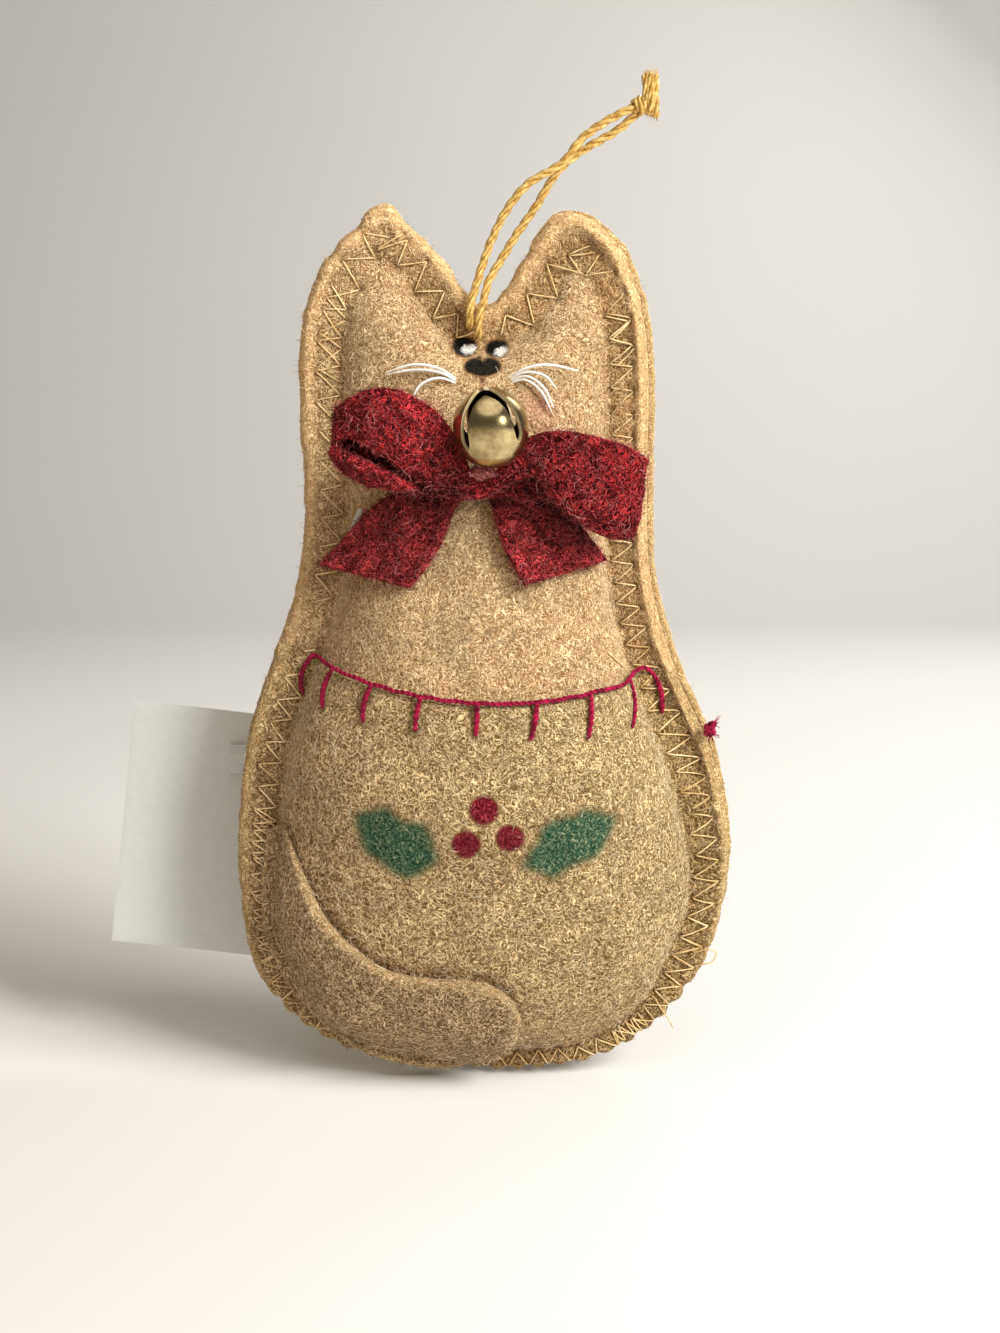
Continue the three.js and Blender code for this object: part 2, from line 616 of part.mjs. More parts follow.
// Bell: a slotted hollow ball about its own centre, open end up
const bellRadius = bellDiameter / 2;
const bellInside = bellRadius - bellWall;
const bellCentre = new THREE.Vector3(bellPlace[0], bowSeatY - bellStand, bellPlace[1]);
const bellLean = THREE.MathUtils.degToRad(bellTilt);
const bellAxis = new THREE.Vector3(0, -Math.sin(bellLean), Math.cos(bellLean));

function bellShell() {
  const outside = new THREE.SphereGeometry(bellRadius, 16, 12).rotateX(Math.PI / 2);
  const inside = new THREE.SphereGeometry(bellInside, 14, 10).rotateX(Math.PI / 2);
  const slotMiddle = bellRadius - bellSlotDepth / 2 + bellWall;
  const slotLength = bellSlotDepth + 2 * bellWall;
  const slots = [0, 1].map((turn) => new THREE.BoxGeometry(bellSlot, 3 * bellRadius, slotLength)
    .translate(0, 0, slotMiddle)
    .rotateZ(Math.PI / 4 + (turn * Math.PI) / 2));
  const mouth = new THREE.CylinderGeometry(bellMouth / 2, bellMouth / 2, bellRadius, 12)
    .rotateX(Math.PI / 2)
    .translate(0, 0, bellRadius);
  return cut(outside, [inside, ...slots, mouth]);
}

function gluePadSolid() {
  const pad = new THREE.SphereGeometry(0.5, 12, 8).scale(gluePad[0], gluePad[1], gluePad[2]);
  const below = bellCentre.z - bellRadius - gluePad[2] / 2 + seatGap;
  pad.translate((bellCentre.x + bowSeat[0]) / 2, bellCentre.y + glueSetBack, below);
  const room = new THREE.SphereGeometry(bellRadius + seatGap, 20, 14)
    .translate(bellCentre.x, bellCentre.y, bellCentre.z);
  return cut(pad, [room]);
}

function whisker(points) {
  const lift = seatGap + whiskerThickness;
  const lie = ([x, stand, z]) => onChest([x, lift + stand, z]);
  return tube(points.map(lie), whiskerThickness, 6, 9);
}

// Hanging cord: from the middle of its short run behind the felt, through a hole, up to the knot
const cordBehind = halfGap + feltThickness + cordBackLoop;
const cordBefore = halfGap + feltThickness + cordFrontLoop;
function cordStrand(hole, otherHole, free) {
  const [here, there] = [flat(hole), flat(otherHole)];
  const toMiddle = 0.5 - seatGap / 2 / here.distanceTo(there);
  const at = (share, y, rise) => here.clone().lerp(there, share).setY(y).add(new THREE.Vector3(0, 0, rise));
  const bend = cordThickness / 4; // how far the line rounds off where it turns through the felt
  const route = [
    at(toMiddle, cordBehind, 0), at(toMiddle / 5, cordBehind - bend, 0), at(0, cordBehind / 2, 0),
    at(0, -cordBefore / 3, 0), at(0, bend - cordBefore, bend), ...free.map(vector),
  ];
  return tube(route, cordThickness, 8, 40);
}

function cordKnot() {
  const heart = new THREE.SphereGeometry(knotSize / 2, 8, 6).scale(1, 0.8, 0.85).translate(...knotPlace);
  return joined([heart, ...knotEnds.map((end) => tube(end.map(vector), cordThickness, 8, 3))]);
}

// Tag hanging behind the body, in its own frame with the hole at the origin
const tagY = halfGap + backCrown + feltThickness + tagClearance + tagThickness / 2;

function tagSheet() {
  const plate = new THREE.BoxGeometry(tagSize[0], tagThickness, tagSize[1]);
  plate.translate(0, 0, tagHole.drop - tagSize[1] / 2);
  return cut(plate, [crossPeg(0, 0, 2 * tagHole.radius, 3 * tagThickness)]);
}

// Fastener: cross bar on the chest, filament through the body and the tag, paddle on the tag's face
function tagFastener() {
  const [x, z] = fastenerEntry;
  const barRadius = fastenerBar.thickness / 2;
  const barY = chestOuter(x, z) - fastenerBar.stand - barRadius;
  const bar = new THREE.CylinderGeometry(barRadius, barRadius, fastenerBar.length, 8).rotateX(Math.PI / 2);
  bar.rotateY(THREE.MathUtils.degToRad(fastenerBar.turn)).translate(x, barY, z);
  const tagBack = tagY + tagThickness / 2;
  const paddleY = tagY - tagThickness / 2 - seatGap - fastenerPaddle[1] / 2;
  const paddle = new THREE.BoxGeometry(...fastenerPaddle);
  paddle.translate(tagHole.x + paddleShift, paddleY, tagHole.z);
  const route = [
    [x, barY, z], [x, 0, z], [x, backOuter(x, z) + filamentThickness, z],
    ...filamentRoute.map(([dx, dy, dz]) => [x + dx, tagBack + dy, z + dz]),
    [tagHole.x, tagBack + filamentThickness, tagHole.z + filamentThickness / 2],
    [tagHole.x, paddleY, tagHole.z],
  ];
  return joined([bar, tube(route.map(vector), filamentThickness, 6, 44), paddle]);
}

// Finishes
const tanFelt = { color: 0xc9a06a, roughness: 0.95, metalness: 0 };
const sandFelt = { color: 0xc2a374, roughness: 0.95, metalness: 0 };
const redFelt = { color: 0x7d1424, roughness: 0.95, metalness: 0 };
const batting = { color: 0xf2efe8, roughness: 1, metalness: 0 };
const goldThread = { color: 0xc89a4e, roughness: 0.6, metalness: 0 };
const crimsonYarn = { color: 0x97163a, roughness: 0.8, metalness: 0 };
const whiteThread = { color: 0xf3efe6, roughness: 0.7, metalness: 0 };
const goldCord = { color: 0xd9a53c, roughness: 0.35, metalness: 0.8 };
const brass = { color: 0xb89452, roughness: 0.3, metalness: 1 };
const steel = { color: 0x9a9a9a, roughness: 0.35, metalness: 1 };
const clearGlue = { color: 0xe8e4dc, roughness: 0.15, metalness: 0 };
const clearPlastic = { color: 0xe6ebee, roughness: 0.2, metalness: 0 };
const paper = { color: 0xf4f4f2, roughness: 0.8, metalness: 0 };

const ornament = new THREE.Group();

function place(name, geometry, finish, group = ornament) {
  const mesh = new THREE.Mesh(geometry, new THREE.MeshStandardMaterial(finish));
  mesh.name = name;
  group.add(mesh);
}

place('chest_panel', chestPanel(), tanFelt);
place('belly_panel', bellyPanel(), sandFelt);
place('back_panel', backPanel(), sandFelt);
place('stuffing', stuffing(), batting);
place('seam_thread_front', zigzag(frontSeamFace, -1), goldThread);
place('seam_thread_back', zigzag(backOuter, 1), goldThread);
place('blanket_stitch', blanketStitch(), crimsonYarn);
place('stitch_knot', stitchKnot(), crimsonYarn);
place('tail', tail(), sandFelt);
place('bow_tail_strip', bowStrip(bowTailRows, onChest, 24), redFelt);
place('bow_loop_strip', bowStrip(bowLoopRows, onBow, 44), redFelt);
place('glue_pad', gluePadSolid(), clearGlue);
for (const [name, points] of Object.entries(whiskers)) place(name, whisker(points), whiteThread);
place('cord_strand_left', cordStrand(cordHoles[0], cordHoles[1], leftStrand), goldCord);
place('cord_strand_right', cordStrand(cordHoles[1], cordHoles[0], rightStrand), goldCord);
place('cord_knot', cordKnot(), goldCord);
place('tag_fastener', tagFastener(), clearPlastic);

const bell = new THREE.Group();
bell.position.copy(bellCentre);
bell.rotation.x = bellLean;
place('bell_shell', bellShell(), brass, bell);
const pelletRest = -(bellInside - pelletDiameter / 2 - seatGap);
const pellet = new THREE.SphereGeometry(pelletDiameter / 2, 10, 8).translate(0, 0, pelletRest);
place('bell_pellet', pellet, steel, bell);
ornament.add(bell);

const tag = new THREE.Group();
tag.position.set(tagHole.x, tagY, tagHole.z);
tag.rotation.y = THREE.MathUtils.degToRad(tagTurn);
place('swing_tag', tagSheet(), paper, tag);
ornament.add(tag);

export default ornament;
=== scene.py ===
import json
import math

import bmesh
import bpy
import numpy as np
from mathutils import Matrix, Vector, kdtree

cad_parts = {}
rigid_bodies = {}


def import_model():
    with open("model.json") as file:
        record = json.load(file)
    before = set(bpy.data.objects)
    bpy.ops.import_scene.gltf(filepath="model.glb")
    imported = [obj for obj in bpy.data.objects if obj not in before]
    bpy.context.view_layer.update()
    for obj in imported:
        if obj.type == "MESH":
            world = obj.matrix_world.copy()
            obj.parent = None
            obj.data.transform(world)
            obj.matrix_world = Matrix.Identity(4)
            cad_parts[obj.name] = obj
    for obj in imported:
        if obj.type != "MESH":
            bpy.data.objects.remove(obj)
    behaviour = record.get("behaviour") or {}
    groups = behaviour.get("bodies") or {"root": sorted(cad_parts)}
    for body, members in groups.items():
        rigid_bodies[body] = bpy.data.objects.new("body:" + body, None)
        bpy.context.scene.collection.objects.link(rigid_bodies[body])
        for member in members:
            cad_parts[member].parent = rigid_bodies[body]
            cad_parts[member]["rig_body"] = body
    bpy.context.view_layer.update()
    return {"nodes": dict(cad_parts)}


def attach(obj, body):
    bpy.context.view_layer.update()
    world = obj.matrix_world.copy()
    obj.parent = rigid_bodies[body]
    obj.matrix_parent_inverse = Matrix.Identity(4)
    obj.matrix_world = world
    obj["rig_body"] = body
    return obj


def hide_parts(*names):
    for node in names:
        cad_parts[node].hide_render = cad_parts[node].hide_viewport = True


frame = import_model()
mm = 0.001
bpy.ops.object.select_all(action="DESELECT")
print("frame loaded:", len(frame["nodes"]), "nodes")


# lines and tubes, in mm
def unit(v):
    return v / np.maximum(np.linalg.norm(v, axis=-1, keepdims=True), 1e-9)


def smoothStep(x, low, high):
    t = np.clip((x - low) / (high - low), 0, 1)
    return t * t * (3 - 2 * t)


def roundOff(edge, r):  # how far a rounded edge falls back at a distance in from it
    return r - np.sqrt(np.maximum(r**2 - (r - np.clip(edge, 0, r)) ** 2, 0))


def along(table, share):
    return np.interp(share, [p[0] for p in table], [p[1] for p in table])


def smoothLine(points, at):  # centripetal curve through the points, at counted in points
    p = np.asarray(points, float)
    p = np.vstack([2 * p[0] - p[1], p, 2 * p[-1] - p[-2]])
    at = np.clip(np.asarray(at, float), 0, len(p) - 3)
    k = np.minimum(at.astype(int), len(p) - 4)
    w = (at - k)[:, None]
    p0, p1, p2, p3 = (p[k + step] for step in range(4))
    d0, d1, d2 = (
        np.maximum(((b - a) ** 2).sum(1) ** 0.25, 1e-4)[:, None] for a, b in ((p0, p1), (p1, p2), (p2, p3))
    )
    t1 = ((p1 - p0) / d0 - (p2 - p0) / (d0 + d1) + (p2 - p1) / d1) * d1
    t2 = ((p2 - p1) / d1 - (p3 - p1) / (d1 + d2) + (p3 - p2) / d2) * d1
    return p1 + t1 * w + (3 * (p2 - p1) - 2 * t1 - t2) * w**2 + (2 * (p1 - p2) + t1 + t2) * w**3


def stepLengths(path):
    return np.linalg.norm(np.diff(path, axis=0), axis=1)


def lineLength(path):
    return float(stepLengths(path).sum())


def runAlong(path):  # length from the start to each point
    return np.concatenate([[0], np.cumsum(stepLengths(path))])


def evenLine(points, step):  # the smooth curve cut into even steps
    fine = smoothLine(points, np.linspace(0, len(points) - 1, 40 * len(points)))
    run = runAlong(fine)
    places = np.linspace(0, run[-1], max(4, int(run[-1] / step)))
    return np.column_stack([np.interp(places, run, fine[:, k]) for k in range(3)])


def carriedFrames(path):  # tangent, normal and binormal carried along a line without twisting
    t = unit(np.gradient(path, axis=0))
    n = np.zeros_like(t)
    n[0] = unit(np.cross(t[0], (0.3, 0.5, 0.81)))
    for k in range(1, len(path)):
        n[k] = unit(n[k - 1] - t[k] * (n[k - 1] @ t[k]))
    return t, n, np.cross(t, n)


def joinParts(parts):  # several (points, faces) as one
    faces, start = [], 0
    for points, group in parts:
        faces += [f + start for f in group]
        start += len(points)
    return np.vstack([points for points, group in parts]), faces


def sweep(path, radius, sides=8, dome=0.6):  # round bar, its ends domed by a share of the radius
    path = np.asarray(path, float)
    count = len(path)
    radius = np.broadcast_to(np.asarray(radius, float), (count,))
    t, n, b = carriedFrames(path)
    turn = np.linspace(0, 2 * np.pi, sides, endpoint=False)[None, :, None]
    rings = path[:, None] + radius[:, None, None] * (np.cos(turn) * n[:, None] + np.sin(turn) * b[:, None])
    ends = np.array([path[0] - t[0] * radius[0] * dome, path[-1] + t[-1] * radius[-1] * dome])
    k = np.arange(sides)
    after = (k + 1) % sides
    ring = np.arange(count - 1)[:, None] * sides
    quads = np.stack([ring + k, ring + after, ring + after + sides, ring + k + sides], -1).reshape(-1, 4)
    top = (count - 1) * sides
    low = np.stack([after, k, np.full(sides, count * sides)], -1)
    high = np.stack([top + k, top + after, np.full(sides, count * sides + 1)], -1)
    return np.vstack([rings.reshape(-1, 3), ends]), [quads, np.vstack([low, high])]


def twistedYarn(path, radius, plies, pitch, sides=7, phase=0.0, fat=0.47):  # plies wound round one line
    path = np.asarray(path, float)
    radius = np.broadcast_to(np.asarray(radius, float), (len(path),))
    t, n, b = carriedFrames(path)
    run = runAlong(path)
    parts = []
    for ply in range(plies):
        turn = (phase + 2 * np.pi * (ply / plies + run / pitch))[:, None]
        off = ((1 - fat) * radius)[:, None] * (np.cos(turn) * n + np.sin(turn) * b)
        parts.append(sweep(path + off, fat * radius, sides))
    return joinParts(parts)


def ringQuads(spokes, rings):  # faces between closed spokes, points counted along each spoke
    a = np.arange(spokes)[:, None] * rings + np.arange(rings - 1)[None]
    b = (np.arange(spokes)[:, None] + 1) % spokes * rings + np.arange(rings - 1)[None]
    return np.stack([a, a + 1, b + 1, b], -1).reshape(-1, 4)


# pieces
def dress(piece, finish, stands=(), body="ornament"):
    piece.data.materials.clear()
    piece.data.materials.append(finish)
    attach(piece, body)
    if stands:
        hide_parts(*stands)
    return piece


def makePiece(name, shape, finish, stands=(), body="ornament"):  # mesh piece from points in mm
    points, faces = shape
    mesh = bpy.data.meshes.new(name)
    corners = np.concatenate([f.ravel() for f in faces]).astype(np.int32)
    sizes = np.concatenate([np.full(len(f), f.shape[1]) for f in faces])
    mesh.vertices.add(len(points))
    mesh.vertices.foreach_set("co", (points * mm).astype(np.float32).ravel())
    mesh.loops.add(len(corners))
    mesh.loops.foreach_set("vertex_index", corners)
    mesh.polygons.add(len(sizes))
    mesh.polygons.foreach_set("loop_start", (np.cumsum(sizes) - sizes).astype(np.int32))
    mesh.update(calc_edges=True)
    mesh.validate()
    mesh.shade_smooth()
    piece = bpy.data.objects.new(name, mesh)
    bpy.context.collection.objects.link(piece)
    return dress(piece, finish, stands, body)


def pointsOf(piece):
    co = np.zeros(len(piece.data.vertices) * 3, np.float32)
    piece.data.vertices.foreach_get("co", co)
    return co.reshape(-1, 3)


def markPoints(piece, name, values):  # one number for each vertex, read by the finish
    layer = piece.data.attributes.new(name, "FLOAT", "POINT")
    layer.data.foreach_set("value", np.asarray(values, np.float32))


def layFlat(piece, uv):
    layer = piece.data.uv_layers.new(name="OFBake")
    layer.data.foreach_set("uv", uv.astype(np.float32).ravel())


def faceOut(piece, merge=None):  # turns all faces outwards, after its doubles are merged
    bm = bmesh.new()
    bm.from_mesh(piece.data)
    if merge:
        bmesh.ops.remove_doubles(bm, verts=bm.verts, dist=merge)
    bmesh.ops.recalc_face_normals(bm, faces=bm.faces)
    bm.to_mesh(piece.data)
    bm.free()


def startPiece(name, addPrimitive, location=(0, 0, 0), **settings):  # a primitive, selected alone
    bpy.ops.object.select_all(action="DESELECT")
    addPrimitive(location=location, **settings)
    piece = bpy.context.object
    piece.name = name
    return piece


def pickParts(piece, kind, wanted):  # selects edges or faces in edit mode
    bm = bmesh.from_edit_mesh(piece.data)
    for part in getattr(bm, kind):
        part.select = wanted(part)
    if kind == "edges":
        bm.select_flush(False)
    bmesh.update_edit_mesh(piece.data)


def applyModifier(piece, kind, **settings):
    modifier = piece.modifiers.new(kind.lower(), kind)
    for key, value in settings.items():
        setattr(modifier, key, value)
    bpy.ops.object.modifier_apply(modifier=modifier.name)


def applyPlace(piece, centre, size=(1, 1, 1), turn=(0, 0, 0)):  # its place goes into its mesh
    piece.scale = size
    piece.rotation_euler = [math.radians(angle) for angle in turn]
    piece.location = Vector(centre) * mm
    bpy.ops.object.transform_apply(location=True, rotation=True, scale=True)


# finishes
def addNode(tree, kind, inputs=None, **settings):
    node = tree.nodes.new("ShaderNode" + kind)
    for key, value in settings.items():
        setattr(node, key, value)
    for key, value in (inputs or {}).items():
        if isinstance(value, bpy.types.NodeSocket):
            tree.links.new(value, node.inputs[key])
        else:
            node.inputs[key].default_value = value
    return node


def mixColour(tree, factor, a, b, blend="MIX"):
    return addNode(tree, "Mix", {0: factor, 6: a, 7: b}, data_type="RGBA", blend_type=blend).outputs[2]


def maths(tree, operation, a, b=0.0):
    return addNode(tree, "Math", {0: a, 1: b}, operation=operation).outputs[0]


def vectorMaths(tree, operation, inputs, output=0):
    return addNode(tree, "VectorMath", inputs, operation=operation).outputs[output]


def remap(tree, value, low, high, toLow=0.0, toHigh=1.0):
    inputs = {"Value": value, 1: low, 2: high, 3: toLow, 4: toHigh}
    return addNode(tree, "MapRange", inputs, clamp=True).outputs[0]


def noiseTone(tree, spot, scale, detail, output="Fac", **more):
    inputs = {"Vector": spot, "Scale": scale, "Detail": detail, **more}
    return addNode(tree, "TexNoise", inputs).outputs[output]


def markTone(tree, name):
    return addNode(tree, "Attribute", attribute_name=name).outputs["Fac"]


def objectSpot(tree):
    return addNode(tree, "TexCoord").outputs["Object"]


def tone(colour, share=1.0, most=9.0):
    return (*(min(most, share * c) for c in colour), 1.0)


def newFinish(name, sockets):  # a material and its nodes, with the shader's plain values set
    finish = bpy.data.materials.new(name)
    finish.use_nodes = True
    for key, value in sockets.items():
        finish.node_tree.nodes["Principled BSDF"].inputs[key].default_value = value
    return finish, finish.node_tree


def linkShader(tree, colour, rough=None, height=None, strength=0.0, deep=0.0):
    links = {"Base Color": colour, "Roughness": rough}
    if height is not None:
        bump = {"Strength": strength, "Distance": deep, "Height": height}
        links["Normal"] = addNode(tree, "Bump", bump).outputs[0]
    for key, value in links.items():
        if value is not None:
            tree.links.new(value, tree.nodes["Principled BSDF"].inputs[key])


fibre = {
    # dark, middle and light fibres of each felt
    "tanFelt": ((0.24, 0.118, 0.041), (0.58, 0.357, 0.158), (1.0, 0.77, 0.46)),
    "sandFelt": ((0.14, 0.077, 0.024), (0.405, 0.256, 0.101), (0.90, 0.69, 0.38)),
    "tailFelt": ((0.11, 0.062, 0.021), (0.33, 0.211, 0.087), (0.78, 0.60, 0.34)),
    "redFelt": ((0.006, 0.001, 0.002), (0.126, 0.006, 0.010), (0.68, 0.050, 0.056)),
    # a brighter copy of the red felt for the bow tails: painted light; their left half is painted darker
    # again by foldShade
    "redFeltLit": ((0.011, 0.001, 0.003), (0.36, 0.018, 0.027), (1.0, 0.12, 0.13)),
    "rampAt": (0.18, 0.46, 0.76),
    # strokes: turn and tip in radians, length and width in mm, wander in metres
    "lie": [(0.35, 0.2), (1.35, -0.3), (-0.7, 0.5)], "long": 2.2, "wide": 0.17, "wander": 0.0016,
    "edgeHighlightShare": 0.34, "edgeHighlight": 1.75,  # how much of the mottling the cut edges lose, and how much paler they are painted: a painted highlight
    "relief": 0.00026,
}


def ovalLine(tree, spot, ovals):  # signed distance in mm to some ovals, positive inside
    best = None
    for x, z, half, tall, turn in ovals:
        inputs = {"Vector": spot, "Location": (x * mm, 0, z * mm), "Rotation": (0, -math.radians(turn), 0)}
        inputs["Scale"] = (half * mm, 1.0, tall * mm)
        inner = addNode(tree, "Mapping", inputs, vector_type="TEXTURE").outputs[0]
        inner = vectorMaths(tree, "MULTIPLY", {0: inner, 1: (1, 0, 1)})
        reach = vectorMaths(tree, "LENGTH", {0: inner}, "Value")
        line = maths(tree, "MULTIPLY", maths(tree, "SUBTRACT", 1.0, reach), min(half, tall))
        best = line if best is None else maths(tree, "MAXIMUM", best, line)
    return best


def feltFinish(name, inks=(), paintedShade=None, coarse=1.0, blotch=(170.0, 0.86, 1.1), paintedEdgeHighlight=True):
    dark, middle, light = fibre[name.split(".")[0]]
    sockets = {"Specular IOR Level": 0.12, "Sheen Weight": 0.07, "Sheen Roughness": 0.45}
    finish, tree = newFinish(name, {**sockets, "Sheen Tint": tone(light, 1.25, 1.0)})
    spot = objectSpot(tree)
    drift = noiseTone(tree, spot, 640.0, 1.0, "Color")
    drift = vectorMaths(tree, "SUBTRACT", {0: drift, 1: (0.5, 0.5, 0.5)})
    drift = vectorMaths(tree, "SCALE", {0: drift, "Scale": fibre["wander"]})
    curly = vectorMaths(tree, "ADD", {0: spot, 1: drift})
    stroke = None
    for turn, tip in fibre["lie"]:  # short strokes of fibre, each set lying one way
        inputs = {"Vector": curly, "Rotation": (tip, turn, 0.0)}
        inputs["Scale"] = [fibre[way] * coarse * mm for way in ("long", "wide", "wide")]
        lay = addNode(tree, "Mapping", inputs, vector_type="TEXTURE").outputs[0]
        line = noiseTone(tree, lay, 1.0, 2.0, Roughness=0.5, Distortion=0.45)
        stroke = line if stroke is None else maths(tree, "MAXIMUM", stroke, line)
    speck = noiseTone(tree, spot, 2600.0 / coarse, 3.0, Roughness=0.7)
    strokes, specks = remap(tree, stroke, 0.51, 0.68, 0, 0.74), remap(tree, speck, 0.38, 0.62, 0, 0.26)
    height = maths(tree, "ADD", strokes, specks)
    ramp = addNode(tree, "ValToRGB", {"Fac": height})
    lowAt, middleAt, highAt = fibre["rampAt"]
    for element, at, shade in zip(ramp.color_ramp.elements, (lowAt, highAt), (dark, light)):
        element.position = at
        element.color = tone(shade)
    ramp.color_ramp.elements.new(middleAt).color = tone(middle)
    patch = remap(tree, noiseTone(tree, spot, blotch[0], 3.0), 0.34, 0.66, *blotch[1:])
    colour = mixColour(tree, 1.0, ramp.outputs[0], patch, "MULTIPLY")
    # painted shade where the press mark says: the sewn channel (partly pressed felt, partly painted shade of
    # the recess), the painted shadow along the tail's edge, and the bow's folds
    if paintedShade:
        darker = mixColour(tree, 1.0, colour, tone(paintedShade), "MULTIPLY")
        colour = mixColour(tree, markTone(tree, "press"), colour, darker)
    # painted highlight on the cut edges, where the edge mark says; it also evens out the mottling there
    if paintedEdgeHighlight:
        share = maths(tree, "MULTIPLY", markTone(tree, "edge"), fibre["edgeHighlightShare"])
        colour = mixColour(tree, share, colour, tone(middle, fibre["edgeHighlight"]))
    for mark, shade, soft, show in inks:  # painted shapes, from their signed distance in mm
        line = markTone(tree, mark) if isinstance(mark, str) else ovalLine(tree, spot, mark)
        wobble = maths(tree, "MULTIPLY", maths(tree, "SUBTRACT", height, 0.5), max(1.6 * soft, 0.55))
        cover = remap(tree, maths(tree, "ADD", line, wobble), -soft, soft)
        cover = maths(tree, "MULTIPLY", cover, remap(tree, height, 0.55, 0.95, 1.0, show))
        uneven = 0.9 if max(shade) < 0.5 else 0.15
        painted = mixColour(tree, height, tone(shade, 1.1 - uneven, 1.0), tone(shade, 1.1 + uneven, 1.0))
        colour = mixColour(tree, cover, colour, painted)
    rough = remap(tree, height, 0.0, 1.0, 0.98, 0.82)
    linkShader(tree, colour, rough, height, 0.75, fibre["relief"] * coarse)
    return finish


def threadFinish(name, dark, light, rough=0.6, metal=0.0, size=900.0, relief=0.00004):
    finish, tree = newFinish(name, {"Metallic": metal, "Specular IOR Level": 0.4})
    fleck = noiseTone(tree, objectSpot(tree), size, 4.0, Roughness=0.7)
    colour = mixColour(tree, remap(tree, fleck, 0.35, 0.65), tone(dark), tone(light))
    linkShader(tree, colour, remap(tree, fleck, 0.3, 0.7, rough + 0.1, rough - 0.1), fleck, 0.5, relief)
    return finish


def clearFinish(name, colour, rough, cloud, clear=1.0):
    finish, tree = newFinish(name, {"Transmission Weight": clear, "IOR": 1.48})
    haze = noiseTone(tree, objectSpot(tree), 600.0, 3.0)
    shade = mixColour(tree, haze, tone(colour), tone(colour, 1.12, 1.0))
    linkShader(tree, shade, remap(tree, haze, 0.3, 0.7, rough, rough + cloud), haze, 0.4, 0.00006)
    return finish


def fuzzFinish(name, dark, light, rare=1.0):  # the rarer, the fewer fibres are near the light tone
    finish, tree = newFinish(name, {"Specular IOR Level": 0.2})
    mark = maths(tree, "POWER", markTone(tree, "fibreTone"), rare)
    linkShader(tree, mixColour(tree, mark, tone(dark), tone(light)), remap(tree, mark, 0.0, 1.0, 0.9, 0.6))
    return finish


goldThread = threadFinish("goldThread", (0.50, 0.31, 0.11), (0.95, 0.73, 0.40), 0.45, 0.0, 300.0)
crimsonYarn = threadFinish("crimsonYarn", (0.085, 0.001, 0.013), (0.40, 0.010, 0.058), 0.85)
whiteThread = threadFinish("whiteThread", (0.74, 0.71, 0.64), (0.93, 0.91, 0.87), 0.55)
goldCord = threadFinish("goldCord", (0.46, 0.24, 0.04), (0.95, 0.68, 0.25), 0.42, 0.5, 1300.0)
print("thread finishes made")

# camera, floor and light
view = {"lens": 48.6, "distance": 261, "elevation": 9, "target": (2.81, 0, -49.3)}
tilt = math.radians(view["elevation"])
viewFrom = Vector((0, -math.cos(tilt), math.sin(tilt)))
bpy.ops.object.camera_add(location=(Vector(view["target"]) + viewFrom * view["distance"]) * mm)
camera = bpy.context.object
camera.rotation_euler = (-viewFrom).to_track_quat("-Z", "Y").to_euler()
camera.data.lens = view["lens"]
camera.data.sensor_width = 36
camera.data.clip_start = 0.01
bpy.context.scene.camera = camera
bpy.context.scene.view_settings.view_transform = "Standard"

studio = {
    "floor": -111.0, "deep": 500, "near": -900, "wide": 1600, "high": 900, "bend": 160,
    "paper": (0.62, 0.612, 0.592), "world": 0.11, "sky": (1.0, 0.94, 0.84),
    # place, aim, width, watts, colour
    "lamps": {
        "keyLamp": ((430, -310, 285), (0, 0, -60), 360, 6.75, (1.0, 0.985, 0.96)),
        "glintLamp": ((330, -410, 130), (0, 0, -15), 190, 0.4, (1.0, 0.97, 0.92)),
        "topLamp": ((-10, -170, 300), (0, 0, -40), 440, 0.55, (1.0, 0.97, 0.92)),
        "fillLamp": ((-380, -480, 120), (0, 0, -55), 500, 0.62, (1.0, 0.76, 0.44)),
        "rimLamp": ((260, 330, 260), (0, 0, -40), 240, 1.4, (1.0, 0.97, 0.92)),
    },
    "unmirrored": ("keyLamp", "fillLamp"),  # only the soft lamps and the glint show in the bell
}
floor = startPiece("studio_floor", bpy.ops.mesh.primitive_plane_add, size=1)
applyPlace(floor, (0, 0, 0), (studio["wide"] * mm, 1, 1))
for corner in floor.data.vertices:
    corner.co.y = studio["deep" if corner.co.y > 0 else "near"] * mm
    corner.co.z = studio["floor"] * mm
bpy.ops.object.mode_set(mode="EDIT")
pickParts(floor, "edges", lambda edge: all(v.co.y > 0 for v in edge.verts))
bpy.ops.mesh.extrude_region_move(TRANSFORM_OT_translate={"value": (0, 0, studio["high"] * mm)})
pickParts(floor, "edges", lambda edge: len(edge.link_faces) == 2)
bpy.ops.mesh.bevel(offset=studio["bend"] * mm, segments=16)
bpy.ops.object.mode_set(mode="OBJECT")
bpy.ops.object.shade_smooth()
paperFinish, paperTree = newFinish("studioPaper", {"Roughness": 0.9, "Specular IOR Level": 0.2})
grit = noiseTone(paperTree, objectSpot(paperTree), 14.0, 3.0)
linkShader(paperTree, mixColour(paperTree, grit, tone(studio["paper"], 0.97), tone(studio["paper"])))
floor.data.materials.append(paperFinish)
for name, (place, aim, width, watts, glow) in studio["lamps"].items():
    bpy.ops.object.light_add(type="AREA", location=Vector(place) * mm)
    lamp = bpy.context.object
    lamp.name = name
    lamp.data.shape = "DISK"
    lamp.data.size = width * mm
    lamp.data.energy = watts
    lamp.data.color = glow
    lamp.visible_glossy = name not in studio["unmirrored"]
    lamp.rotation_euler = (Vector(aim) - Vector(place)).to_track_quat("-Z", "Y").to_euler()
world = bpy.data.worlds.new("studioWorld")
bpy.context.scene.world = world
world.use_nodes = True
world.node_tree.nodes["Background"].inputs["Color"].default_value = tone(studio["sky"])
world.node_tree.nodes["Background"].inputs["Strength"].default_value = studio["world"]
print("camera, floor and lamps set")

